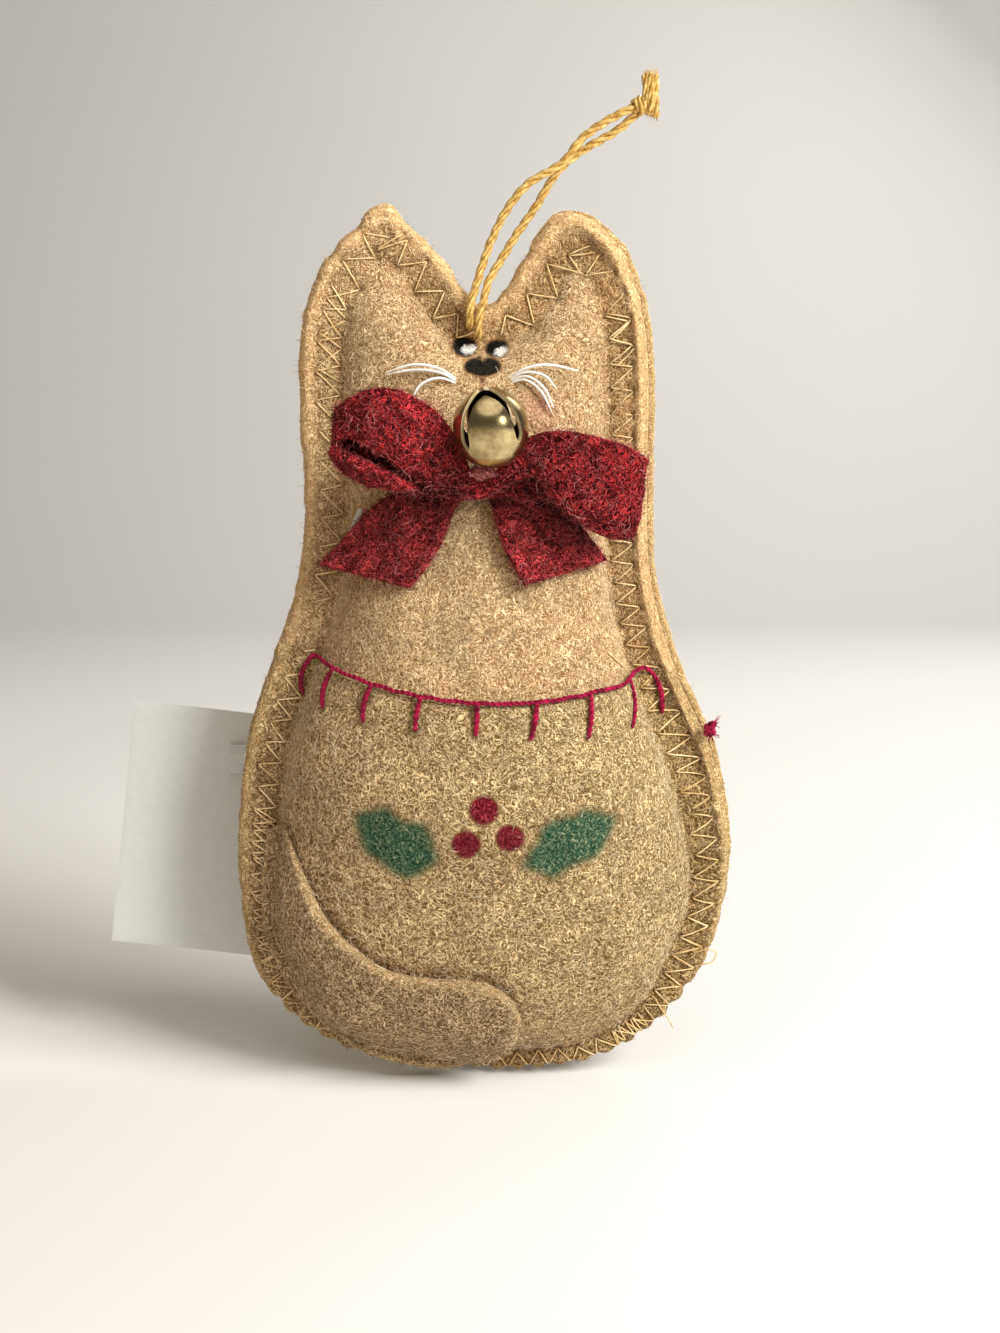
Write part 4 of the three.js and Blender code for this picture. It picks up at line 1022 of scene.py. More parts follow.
def feltPanel(name, finish, stands, outerY, innerY, facing, above=None, below=None, shift=0.0,
              grooves=None, shadowLines=()):
    x, z, quads, tris, rim = panelSheet(above, below)
    a, b, c = (np.array([x[k], 0, z[k]]) for k in quads[0, :3])
    if np.cross(b - a, c - a)[1] * facing < 0:  # faces look out of the cat
        quads, tris, rim = quads[:, ::-1], tris[:, ::-1], rim[:, ::-1]
    border = np.unique(rim)
    inset = sampled(insetField, x, z)
    edge = np.clip(inset, 0, None)
    for level in (above, below):
        if level is not None:
            edge = np.minimum(edge, np.abs(z - bellyEdge(x) - level))
    edge[border] = 0
    outer, inner = outerY(x, z), innerY(x, z)
    thick = np.abs(outer - inner)
    dent = stitchDents(x, z)
    if grooves is not None:
        dent = np.maximum(dent, sampled(grooves, x, z))
    bumps = feltBumps(x, z, shift) * smoothStep(edge, -0.2, 0.8)
    drop = roundOff(edge, np.minimum(grid["edgeRound"], 0.65 * thick))
    outer = outer + facing * ((bumps - dent) * np.minimum(1, thick / cat["felt"]) - drop)
    inner = inner + facing * roundOff(edge, np.minimum(grid["seamRound"], 0.2 * thick))
    pull = sampled(rimPull, x, z) + grid["rimUneven"] * sampled(pile, x, z)
    pull = pull * (1 - smoothStep(inset, 0.0, grid["rimZone"]))
    ox, oz = outwards(x, z)
    x, z = x - ox * pull, z - oz * pull
    rows = [rolled(x, outer, z), rolled(x, inner, z)]
    n, m = len(x), len(border)
    ox, oz = outwards(x[border], z[border])
    onRim = inset[border] < 0.05
    rng = np.random.default_rng(len(name))
    for share in grid["wallAt"]:  # the cut edge bulges a little
        swell = (grid["bulge"] + rng.normal(0, grid["bulgeUneven"], m)) * onRim
        y = outer[border] * (1 - share) + inner[border] * share
        rows.append(rolled(x[border] + ox * swell, y, z[border] + oz * swell))
    wallOf = np.full(n, -1)
    wallOf[border] = np.arange(m)
    walls = [rim, 2 * n + wallOf[rim], 2 * n + m + wallOf[rim], n + rim]
    faces = [quads, tris, quads[:, ::-1] + n, tris[:, ::-1] + n] if len(tris) else [quads, quads[:, ::-1] + n]
    faces += [np.stack([p[:, 1], p[:, 0], q[:, 0], q[:, 1]], -1) for p, q in zip(walls[:-1], walls[1:])]
    piece = makePiece(name, (np.vstack(rows), faces), finish, stands)
    allX, allZ = (np.concatenate([line, line, line[border], line[border]]) for line in (x, z))
    # painted shade for the press mark: the sewn channel and stitch dents (partly pressed felt), less of it
    # towards the left of the front faces, and a painted shadow along the given lines
    shade = grid["seamShade"]
    if facing < 0:
        shade = shade - grid["leftSeamLessShade"] * smoothStep(-allX, 4, 20)
    shade = shade * (sampled(pressField, allX, allZ) + sampled(dentField, allX, allZ))
    shade = np.maximum(shade, np.exp(-((lineGap(allX, allZ, shadowLines) / grid["shadowLineWide"]) ** 2)))
    markPoints(piece, "press", np.clip(shade, 0, 1))
    # the edge mark: where the painted highlight goes, a band along the rim
    rimBand = sampled(bandOuter, allX, allZ)
    markPoints(piece, "edge", 1 - smoothStep(sampled(insetField, allX, allZ), rimBand - 2.0, rimBand + 0.5))
    layPattern(piece, n, rim)
    return piece, allX, allZ


# blanket stitch along the belly panel
blanket = {
    "purl": 0.37, "leg": 0.45, "pitch": 1.7, "fat": 0.54, "rise": 0.18, "thinFrom": 20, "thin": 0.75,
    "tops": [-24.0, -20.7, -15, -8.1, -0.4, 7.9, 15.4, 21.3],
    "ends": [
        (-25.5, -53.1), (-22.1, -54.3), (-16.2, -55.5), (-8.9, -56.3), (-0.6, -56.8), (6.9, -57.6),
        (15, -57.9),
        (21.4, -57.3),
    ],
    "bows": [-1.0, -0.7, -0.5, -0.2, 0.1, 0.2, 0.3, 0.7],
    "arch": [
        (20.4, -50.75), (21.4, -50.1), (22.2, -49.4), (23.5, -49.0), (24.7, -49.9), (25.6, -51.4),
        (26.1, -53.3),
        (26.1, -55.9),
    ],
    "groove": (0.3, 0.8), "endDent": (0.35, 0.6),
}


def yarnLegs(count, rise=0.0):  # top, shares of the way down, x and z of each leg
    t = np.linspace(0, 1, count)
    for top, (ex, ez), side in zip(blanket["tops"], blanket["ends"], blanket["bows"]):
        tz = bellyEdge(top) + rise
        yield top, t, top + (ex - top) * t + side * np.sin(np.pi * t), tz + (ez - tz) * t


yarnGrooves = np.zeros(insetField.shape)  # the legs press into the belly felt
for top, shares, x, z in yarnLegs(26):
    for t, px, pz in zip(shares, x, z):
        dents = [blanket["groove"], blanket["endDent"]] if t > 0.95 else [blanket["groove"]]
        stamp(yarnGrooves, (px, pz), 4, *dents)

tail = {
    "thick": 2.0, "stand": 0.75,
    "sewn": 0.36, "root": 0.2,  # shares of the thickness left where the seam holds it
    "fuller": 0.25, "round": 0.8, "steps": (110, 22), "edge": 0.07,
    "rows": [
        ((-28.2, -71.8), (-31.0, -73.0)), ((-26.0, -77.0), (-31.9, -79.3)), ((-24.1, -80.7), (-32.1, -84.0)),
        ((-22.2, -84.0), (-31.6, -89.2)), ((-18.7, -87.8), (-29.0, -95.2)), ((-14, -91), (-24.0, -101.2)),
        ((-9.6, -92.2), (-17.4, -106.2)), ((-4.2, -92.5), (-10, -108.3)), ((1.2, -93.2), (-3.5, -108.4)),
        ((4.4, -95.8), (1.8, -106.0)), ((5.8, -98.8), (5.0, -102.4)),
    ],
}
tailEdge = [row[0] for row in tail["rows"]] + [row[1] for row in tail["rows"][:-4:-1]]
chestInks = [
    ("blush", paint["rose"], 2.2, 0.2), (paint["mouth"], paint["lips"], 0.3, 0.9),
    (paint["eyes"] + paint["nose"], paint["black"], 0.1, 0.97), (paint["glints"], paint["white"], 0.08, 1.0),
]
bellyInks = [("leaf", paint["green"], 0.7, 0.62), (paint["berries"], paint["red"], 0.2, 0.92)]
chestFelt = feltFinish("tanFelt", chestInks, paint["channelShade"], 0.8)
bellyFelt = feltFinish("sandFelt", bellyInks, paint["channelShade"])
backFelt = feltFinish("sandFelt.back", (), paint["channelShade"])
chest, x, z = feltPanel(
    "chest_felt", chestFelt, ["chest_panel"], chestOuter, chestInner, -1, above=-belly["overlap"]
)
markPoints(chest, "blush", insideOval(x, z, paint["blush"]) - paint["blushInset"])
bellyPiece, x, z = feltPanel(
    "belly_felt", bellyFelt, ["belly_panel"], bellyOuter, bellyInner, -1, below=0.0, shift=7.0,
    grooves=yarnGrooves, shadowLines=[tailEdge],
)
markPoints(bellyPiece, "leaf", insideLeaves(x, z))
backPiece = feltPanel(
    "back_felt", backFelt, ["back_panel"], backOuter, backInner, 1, shift=3.0
)[0]
print("felt panels made")

# stuffing, between the panels
stuffing = {"clear": 0.12, "least": 0.02, "fromInset": -3, "fill": 0.8}


def fillShape():
    places = flatPlaces[:, len(grid["insets"]) + stuffing["fromInset"] :]  # starts at the seam
    spokes, rings = places.shape[:2]
    x, z = places.reshape(-1, 2).T
    front = np.stack([x, np.minimum(chestInner(x, z) + stuffing["clear"], -stuffing["least"]), z], -1)
    rear = np.stack([x, np.maximum(backInner(x, z) - stuffing["clear"], stuffing["least"]), z], -1)
    quads = ringQuads(spokes, rings)
    s = np.arange(spokes) * rings
    n = len(x)
    wall = np.stack([s, np.roll(s, -1), np.roll(s, -1) + n, s + n], -1)
    return np.vstack([front, rear]), [quads, quads[:, ::-1] + n, wall]


battingFinish = threadFinish("battingFibre", (0.72, 0.70, 0.65), (0.92, 0.90, 0.86), 0.9, 0.0, 700.0, 0.0004)
filling = makePiece("fibre_filling", fillShape(), battingFinish, ["stuffing"])
faceOut(filling, 2e-6)
print("stuffing made")


# zigzag threads on both faces
def seamThread(face, facing):
    r = seam["thread"] / 2
    rng = np.random.default_rng(seam["seed"])
    legs = []
    for holes, outer, wraps in seamRuns:
        legs += zip(holes[:-1], holes[1:], wraps[:-1], wraps[1:])
    if facing < 0:
        legs.append((*np.array(seam["stray"]), False, False))
    t = np.linspace(0, 1, 11)
    start, end = np.exp(-((t / 0.07) ** 2)), np.exp(-(((1 - t) / 0.07) ** 2))
    parts = []
    for a, b, overStart, overEnd in legs:
        slack = rng.normal(0, seam["slack"]) * np.sin(np.pi * t)
        way = np.array([b[1] - a[1], a[0] - b[0]]) / max(np.hypot(*(b - a)), 1e-6)
        x = a[0] + (b[0] - a[0]) * t + way[0] * slack
        z = a[1] + (b[1] - a[1]) * t + way[1] * slack
        sunk = np.minimum(stitchDents(x, z), 0.45) + roundOff(sampled(insetField, x, z), grid["edgeRound"])
        lift = np.sin(np.pi * t) * seam["arch"] + 0.6 * r
        lift = lift - seam["sink"] * (start * (not overStart) + end * (not overEnd))
        y = face(x, z) + facing * (lift - sunk)
        y = y * (1 - start * bool(overStart)) * (1 - end * bool(overEnd))  # goes round the rim
        parts.append(sweep(rolled(x, y, z), r, 5))
    if facing < 0:
        parts += [sweep(evenLine(line, 0.3), r, 6) for line in seam["loose"]]
    return joinParts(parts)


for side, face, facing in (("front", frontFace, -1), ("back", backOuter, 1)):
    makePiece("zigzag_" + side, seamThread(face, facing), goldThread, ["seam_thread_" + side])
print("zigzag threads made")


# yarn of the blanket stitch
def onBelly(x, z, lift):  # a line laid on the belly felt
    y = bellyOuter(x, np.minimum(z, bellyEdge(x) - 0.5)) + 0.12 - lift
    return rolled(x, y, z)


purlX = np.linspace(blanket["tops"][0], blanket["arch"][0][0] - 1.2, 200)
purl = np.stack([purlX, 0 * purlX, bellyEdge(purlX) + blanket["rise"] + 0.1 * np.sin(purlX * 1.7)], -1)
purl = evenLine(np.vstack([purl[::8], [(x, 0, z) for x, z in blanket["arch"]]]), 0.2)
fromEnd = np.arange(len(purl)) - len(purl)
down = smoothStep(fromEnd, -30, -22)
thick = blanket["purl"] + (blanket["leg"] - blanket["purl"]) * down
route = onBelly(purl[:, 0], purl[:, 2], 0.15 * down - 1.2 * smoothStep(fromEnd, -5, 0))
parts = [twistedYarn(route, thick, 2, blanket["pitch"], 8, fat=blanket["fat"])]
for top, t, x, z in yarnLegs(34, blanket["rise"]):
    lift = 0.3 - 1.3 * smoothStep(t, 0.86, 1.0) + 0.25 * np.exp(-((t / 0.1) ** 2))
    thick = blanket["leg"] * (0.78 + 0.22 * np.sin(np.pi * np.clip(t * 1.1, 0, 1)))
    thick = thick * (blanket["thin"] if top > blanket["thinFrom"] else 1)
    parts.append(twistedYarn(onBelly(x, z, lift), thick, 2, blanket["pitch"], 8, top, blanket["fat"]))
makePiece("blanket_yarn", joinParts(parts), crimsonYarn, ["blanket_stitch"])

yarnKnot = {
    "heart": (32.9, -3.5, -57.9), "ply": 0.42, "turns": 2.3, "wide": (0.55, 0.6), "tall": 1.7,
    "ends": 16, "seed": 8,
}
rng = np.random.default_rng(yarnKnot["seed"])
turn = np.linspace(0, 2 * np.pi * yarnKnot["turns"], 90)
heart = np.array(yarnKnot["heart"])
coilX = yarnKnot["wide"][0] * np.cos(turn) + 0.1 * turn / 6
coilZ = (turn / turn[-1] - 0.5) * yarnKnot["tall"] + 0.25 * np.cos(turn * 1.5)
coil = heart + np.stack([coilX, yarnKnot["wide"][1] * np.sin(turn), coilZ], -1)
parts = [twistedYarn(coil, yarnKnot["ply"], 3, blanket["pitch"])]
for k in range(yarnKnot["ends"]):  # frayed ends
    way = [rng.uniform(0.2, 1), rng.uniform(-0.6, 0.3), rng.choice([-1, 1]) * rng.uniform(0.4, 1.2)]
    way = unit(np.array(way))
    bendWay = rng.normal(0, 0.35, 3)
    s = np.linspace(0, 1, 6)[:, None]
    parts.append(sweep(heart + way * (0.4 + 1.5 * s) + bendWay * s**2, np.linspace(0.1, 0.04, 6), 5))
makePiece("yarn_knot", joinParts(parts), crimsonYarn, ["stitch_knot"])
print("blanket stitch made")


# felt strips: tail and bow
def feltSlab(name, strip, thick, rounding, finish, stands, seed, wrinkle=1.0, body="ornament"):
    rows, columns = strip.shape[:2]
    lengthways, across = np.gradient(strip, axis=0), np.gradient(strip, axis=1)
    normal = unit(np.cross(lengthways, across))
    runA, runB = (np.cumsum(np.linalg.norm(np.diff(strip, axis=k), axis=2), k) for k in (0, 1))
    runA, runB = np.vstack([np.zeros((1, columns)), runA]), np.hstack([np.zeros((rows, 1)), runB])
    edge = np.minimum(np.minimum(runA, runA[-1:] - runA), np.minimum(runB, runB[:, -1:] - runB))
    drop = roundOff(edge, rounding)
    rough = wrinkle * feltBumps(runB - 20 + seed, runA.mean(1, keepdims=True) * np.ones((1, columns)) - 112)
    rough = rough * smoothStep(edge, -0.2, 1.0)
    top = (strip + normal * (thick / 2 - drop + rough)[..., None]).reshape(-1, 3)
    under = (strip - normal * (thick / 2 - drop - rough)[..., None]).reshape(-1, 3)
    n = rows * columns
    a = np.arange(rows - 1)[:, None] * columns + np.arange(columns - 1)[None]
    quads = np.stack([a, a + columns, a + columns + 1, a + 1], -1).reshape(-1, 4)
    loop = np.concatenate([
        np.arange(rows - 1) * columns, (rows - 1) * columns + np.arange(columns - 1),
        (np.arange(rows - 1, 0, -1) + 1) * columns - 1, np.arange(columns - 1, 0, -1),
    ])
    m = len(loop)
    inward = np.zeros_like(strip)
    inward[0], inward[-1] = lengthways[0], -lengthways[-1]
    inward[:, 0] += unit(across[:, 0])
    inward[:, -1] -= unit(across[:, -1])
    outward = -unit(inward.reshape(-1, 3)[loop])
    rng = np.random.default_rng(seed)
    rows = [top, under]
    for share in grid["wallAt"]:
        swell = 0.1 + rng.normal(0, grid["bulgeUneven"], m)
        rows.append(top[loop] * (1 - share) + under[loop] * share + outward * swell[:, None])
    rings = [loop, 2 * n + np.arange(m), 2 * n + m + np.arange(m), n + loop]
    faces = [quads, quads[:, ::-1] + n]
    faces += [np.stack([np.roll(p, -1), p, q, np.roll(q, -1)], -1) for p, q in zip(rings[:-1], rings[1:])]
    piece = makePiece(name, (np.vstack(rows), faces), finish, stands, body)
    faceOut(piece)
    # the edge mark: where the painted highlight goes, along the strip's edges and on its cut walls
    near = 0.7 - 0.7 * smoothStep(edge.ravel(), 0.2, 1.3)
    markPoints(piece, "edge", np.concatenate([near, near, np.full(2 * m, 0.7)]))
    return piece


def crossSpread(count, edge):  # closer together near both edges
    close = np.array([0, 0.12, 0.35, 0.65]) * edge
    return np.concatenate([close, np.linspace(edge, 1 - edge, count), 1 - close[::-1]])


def rowGrid(rows, steps, edge, hollow=None, sag=None):  # smooth strip through pairs of edge points
    rows = np.asarray(rows, float)
    at = crossSpread(steps[0], 0.01) * (len(rows) - 1)
    one, two = smoothLine(rows[:, 0], at), smoothLine(rows[:, 1], at)
    share = crossSpread(steps[1], edge)[None, :, None]
    strip = one[:, None] * (1 - share) + two[:, None] * share
    if hollow is not None:
        share = share[..., 0]
        strip[..., 1] += np.interp(at, np.arange(len(rows)), hollow)[:, None] * 4 * share * (1 - share)
        strip[..., 2] -= np.interp(at, np.arange(len(rows)), sag)[:, None] * 6.75 * share**2 * (1 - share)
    return strip


tailRows = [[(x, 0, z) for x, z in row] for row in tail["rows"]]
flat = rowGrid(tailRows, tail["steps"], tail["edge"])
toTip, toOuter = (np.linspace(0, 1, count) for count in flat.shape[:2])
held = smoothStep(np.linspace(1, 0, flat.shape[0]), 0.5, 0.64)[:, None]
held = held * smoothStep(toOuter, 0.45, 0.85)[None]
rooted = tail["root"] + (1 - tail["root"]) * smoothStep(toTip, 0.0, 0.2)[:, None]
full = smoothStep(toTip, 0.5, 0.9)[:, None]  # fuller towards the tip
tailThick = tail["thick"] * (1 - (1 - tail["sewn"]) * held) * rooted * (1 + tail["fuller"] * full)
tailRound = np.minimum(tail["round"] - 0.55 * held + 0.3 * full, 0.44 * tailThick)
stand = tail["stand"] * (1 - 0.8 * held) * rooted + tailThick / 2
flat[..., 1] = frontFace(flat[..., 0], flat[..., 2]) - stand
tailPiece = feltSlab(
    "tail_felt", flat, tailThick, tailRound, feltFinish("tailFelt"), ["tail"], 11,
    body="tail_flap",
)
print("tail made")

bow = {
    "thick": 1.4, "wide": 12.7, "round": 0.5, "wrinkle": 1.2, "edge": 0.06, "seat": (0, -23), "fold": 1.7,
    "shade": (0.10, 0.08, 0.10), "coarse": 0.85, "blotch": (420.0, 0.5, 1.45),
    # painted shadow lines in the knot's creases, x and z
    "shadowLines": [
        [(-1.2, -22.2), (-4.2, -20.3), (-7.4, -18.2)], [(-1.0, -23.2), (-4.6, -22.3), (-7.6, -21.2)],
        [(2.2, -22.4), (5.0, -20.4), (8.4, -19.4)], [(2.0, -23.3), (4.6, -21.9), (7.8, -21.6), (10.6, -22.6)],
    ],
    "tailShadowLines": [
        [(-3.4, -24.2), (-5.4, -27.4), (-7.4, -31.2), (-9.2, -34.4)], [(4.6, -23.6), (6.8, -26.6),
         (9.0, -30.0)],
    ],
    "shadowLineWide": 0.55, "shadowLineDark": 0.8,
    # x, stand-off from the chest, z of the two edges
    "tails": [
        ((-22.4, 5, -33.8), (-9.7, 1.4, -36.5)), ((-18.6, 4.4, -29.8), (-6.9, 1.5, -33)),
        ((-15.2, 3.2, -26), (-5, 1.4, -29.6)), ((-11.5, 2.2, -23.6), (-3.9, 1.3, -26.6)),
        ((-5.5, 1.5, -22.4), (-2.6, 1.2, -24.6)), ((-0.4, 1.2, -22.2), (-0.4, 1.2, -24.4)),
        ((5, 1.6, -21.8), (1.4, 1.3, -24.6)), ((9, 1.8, -24), (2.4, 1.3, -27.7)),
        ((12.2, 2, -26.3), (3.3, 1.4, -30.6)), ((14.9, 2.6, -29.4), (4.8, 1.6, -33.6)),
        ((17.8, 3.4, -33.2), (6.3, 1.9, -36)),
    ],
    # x, offset from the seat and z of the two edges, how far the middle lies behind their line, its sag
    "loops": [
        ((-1.1, -3.1, -22.3), (-1.1, -3.1, -23.9), 0, 0), ((-5, -3.3, -15.2), (-5.5, -7.0, -23.4), 0.6, 0.8),
        ((-10, -3.4, -12), (-10.1, -9.0, -21.4), 1.3, 3.2), ((-14.2, -3.6, -11), (-14.6, -9.7, -19.0),
        1.6, 5.0),
        ((-17, -4.6, -11.3), (-17.8, -9.5, -17.7), 1.2, 4.2), ((-18.6, -6.4, -12.2), (-19.3, -8.8, -17.4),
        0.3, 1.5),
        ((-17.4, -8.3, -11), (-17.8, -8.4, -15.9), -0.3, 0), ((-14.6, -9.2, -9.7), (-14.6, -9.2, -17.0),
        -0.7, 0),
        ((-11.2, -9.4, -9.5), (-11.5, -9.1, -18.9), -0.9, 0), ((-8.3, -8.8, -10.7), (-8.9, -8.6, -21),
        -0.9, 0),
        ((-5.8, -7.8, -12.4), (-6.3, -7.8, -22.4), -0.7, 0), ((-3.4, -6.8, -15.5), (-3.4, -6.9, -22.8),
        -0.4, 0),
        ((0, -5.9, -21.9), (0, -5.9, -24), 0, 0), ((5.6, -6.1, -16.8), (4.4, -6.1, -21.8), -0.4, 0),
        ((8.5, -6.6, -15.3), (7.3, -6.4, -21), -0.7, 0), ((11.6, -6.9, -15.1), (9.8, -6.5, -23.7), -0.9, 0),
        ((14.6, -6.7, -15.6), (12.6, -6.2, -26.4), -1.0, 0), ((17.7, -6.2, -16.4), (15.2, -5.8, -28.3),
        -0.8, 0),
        ((20.4, -5.3, -17.4), (18, -5.2, -29.4), -0.5, 0), ((22.4, -3.8, -18.7), (20.3, -3.9, -29.5), 0, 0),
        ((20.4, -2.8, -17.8), (18.4, -2.9, -29), 0.2, 0), ((15.6, -2.9, -16.2), (13.6, -3, -27), 0.3, 0),
        ((10.4, -3.1, -15.8), (9.4, -3.2, -24.4), 0.2, 0), ((1.1, -3.1, -22.3), (1.1, -3.1, -23.9), 0, 0),
    ],
    # loop rows whose low edge gets a painted shadow on what lies behind it, and how far below it the painted
    # dark line runs
    "underEdges": [(6, 12, 0.3), (12, 20, 1.8), (1, 5, 1.4), (13, 18, 0.7)],
}
seatY = onChest(bow["seat"][0], 0, bow["seat"][1])[1]
tailEdges = [[onChest(*p) for p in row] for row in bow["tails"]]
loopEdges = [[(x, seatY + y, z) for x, y, z in row[:2]] for row in bow["loops"]]
hollows, sags = [row[2] for row in bow["loops"]], [row[3] for row in bow["loops"]]
tailsGrid = rowGrid(tailEdges, (120, 20), bow["edge"])
loopsGrid = rowGrid(loopEdges, (240, 26), bow["edge"], hollows, sags)
bowTails, bowLoops = (
    feltSlab(
        name, strip, bow["thick"], bow["round"],
        feltFinish(felt, (), bow["shade"], bow["coarse"], bow["blotch"], False),
        stands, seed, bow["wrinkle"],
    )
    for name, strip, felt, stands, seed in (
        ("bow_tails", tailsGrid, "redFeltLit", ["bow_tail_strip"], 5),
        ("bow_loops", loopsGrid, "redFelt", ["bow_loop_strip"], 6),
    )
)


def foldShade(piece, lines, behind, side, share, shadowLines):  # painted shade in the folds: under edges, behind a depth, along the shadow lines, and a share of it over one side
    x, y, z = (pointsOf(piece).astype(float) / mm).T
    shade = np.exp(-((lineGap(x, z, lines) / bow["fold"]) ** 2)) * (y > behind)
    lineShade = bow["shadowLineDark"] * np.exp(-((lineGap(x, z, shadowLines) / bow["shadowLineWide"]) ** 2))
    # the press mark here is all painted shade
    markPoints(piece, "press", np.maximum(np.maximum(shade, lineShade), share * smoothStep(side * x, 1, 4)))


lowEdges = [[(row[1][0], row[1][2] - drop) for row in bow["loops"][a:b]] for a, b, drop in bow["underEdges"]]
# painted shade in the left loop's slit and over the right half of the loops; painted shadows under the loops
# on the tails, and painted shade over the left half of the tails, which take the brighter red
foldShade(bowLoops, lowEdges[:1], seatY - 8.2, 1, 0.26, bow["shadowLines"])
foldShade(bowTails, lowEdges[1:3], seatY - 9, -1, 0.3, bow["tailShadowLines"] + lowEdges[3:])

# whiskers: x, how far off the felt, z
whiskers = {
    "left_top": [(-2.7, 0, -8.5), (-5.9, 1, -6.6), (-9.2, 1.2, -6.2), (-13.0, 0.8, -7.3)],
    "left_middle": [(-2.7, 0, -8.7), (-5.4, 0.6, -7.3), (-8.8, 0.8, -6.9), (-12.9, 0.6, -7.5)],
    "left_low": [(-2.8, 0, -8.9), (-5.7, 0.8, -8.0), (-8.2, 0.9, -9.0), (-9.4, 0.4, -11.1)],
    "right_top": [(3.3, 0, -8.4), (6.3, 1, -6.7), (9.3, 1.2, -6.2), (13.7, 0.8, -7)],
    "right_upper": [(3.4, 0, -8.6), (6.4, 0.6, -7.2), (9.1, 0.8, -7.8), (10.6, 0.5, -9.5)],
    "right_lower": [(3.4, 0, -8.8), (6.5, 0.8, -7.8), (8.8, 0.9, -9.3), (10.2, 0.4, -12.0)],
    "right_low": [(3.4, 0, -9.0), (6.3, 0.6, -8.3), (8.4, 0.8, -9.8), (10.0, 0.4, -12.8)],
}
whiskerThick, whiskerStand, whiskerSunk = 0.19, 0.35, -0.7
for name, points in whiskers.items():
    route = [onChest(x, whiskerStand + off, z) for x, off, z in points]
    route[0] = onChest(points[0][0], whiskerSunk, points[0][2])  # sewn into the felt
    route = evenLine(route, 0.3)
    taper = whiskerThick * (1 - 0.55 * smoothStep(np.linspace(0, 1, len(route)), 0.75, 1.0))
    hair = sweep(route, taper, 8)
    makePiece("whisker_thread_" + name, hair, whiteThread, ["whisker_" + name])
print("whiskers made")

# jingle bell
bell = {
    "centre": (1.6, -18.026, -14.6), "tilt": 17, "roll": -10, "radius": 5.0, "tall": 1.03, "wall": 0.45,
    "columns": 48, "rings": 36, "slot": 1.25, "slotEnd": -1.1, "slotRound": 0.7, "slotFade": 1.5,
    "square": 2.2, "worn": 0.09,  # 2 is a plain ball
    # back, left, front and right petal: lip turned out, tip drawn down, tip rounded
    "mouth": 8, "lip": 0.55, "flare": (0.5, 0.6, 0.1, 0.6),
    "tipDown": (-0.03, -0.04, 0.13, -0.04), "tipRound": (0.1, 0.12, 0.14, 0.12),
}
halfColumn = 180 / bell["columns"]  # degrees, so that a column of faces straddles each slot
mouthAngle = math.radians(bell["mouth"])


def polarOf(p):  # angle from the bell's axis, and degrees round it from a slot
    return math.atan2(math.hypot(p.x, p.y), p.z), math.degrees(math.atan2(p.y, p.x)) - 45


def isOpen(face):  # in the mouth or in one of the four slots
    middle = face.calc_center_median()
    polar, around = polarOf(middle)
    off = around % 90
    return polar < mouthAngle or (min(off, 90 - off) < 2 and middle.z > bell["slotEnd"] * mm)


def petalPlace(p):  # parallel slot walls, round petal tips, lips turned out
    polar, around = polarOf(p)
    quarter, off = divmod(around, 90)
    petal = int(quarter) % 4
    low = (p.z / mm - bell["slotEnd"]) / bell["slotRound"]
    half = bell["slot"] / 2 * math.sqrt(min(max(low, 0.0), 1.0))
    rho = max(math.hypot(p.x, p.y) / mm, 0.3)
    wall = max(math.degrees(math.asin(min(half / rho, 0.65))), 1.2)
    if low > -bell["slotFade"]:
        wanted = wall + (off - halfColumn) / (90 - 2 * halfColumn) * (90 - 2 * wall)
        off = off + (wanted - off) * min(max((low + bell["slotFade"]) / bell["slotFade"], 0), 1)
    near = max(0.0, 1 - (polar - mouthAngle) / bell["lip"])
    polar += near * (bell["tipDown"][petal] + bell["tipRound"][petal] * abs(off / 45 - 1) ** 2.4)
    square = bell["square"]
    shoulder = (abs(math.sin(polar)) ** square + abs(math.cos(polar)) ** square) ** (-1 / square)
    size = bell["radius"] * shoulder + bell["flare"][petal] * near**2
    turn = math.radians(quarter * 90 + off + 45)
    way = (math.sin(polar) * math.cos(turn), math.sin(polar) * math.sin(turn), math.cos(polar) * bell["tall"])
    return Vector(way) * (size * mm)


shell = startPiece(
    "jingle_bell", bpy.ops.mesh.primitive_uv_sphere_add, segments=bell["columns"], ring_count=bell["rings"],
    radius=bell["radius"] * mm,
)
c, s = math.cos(math.radians(halfColumn)), math.sin(math.radians(halfColumn))
for v in shell.data.vertices:
    x, y = v.co.x, v.co.y
    v.co.x, v.co.y = x * c - y * s, x * s + y * c
bpy.ops.object.mode_set(mode="EDIT")
pickParts(shell, "faces", isOpen)
bpy.ops.mesh.delete(type="FACE")
bm = bmesh.from_edit_mesh(shell.data)
for v in bm.verts:
    v.co = petalPlace(v.co)
bmesh.update_edit_mesh(shell.data)
bpy.ops.object.mode_set(mode="OBJECT")
wornEdges = {"segments": 2, "limit_method": "ANGLE", "angle_limit": math.radians(50)}
applyModifier(shell, "SOLIDIFY", thickness=bell["wall"] * mm, offset=-1.0)
applyModifier(shell, "BEVEL", width=bell["worn"] * mm, **wornEdges)
applyModifier(shell, "SUBSURF", levels=1, render_levels=1)
applyPlace(shell, bell["centre"], turn=(bell["tilt"], bell["roll"], 0))
bpy.ops.object.shade_smooth()
brass = threadFinish("agedBrass", (0.34, 0.25, 0.11), (0.66, 0.52, 0.26), 0.26, 1.0, 420.0, 0.00003)
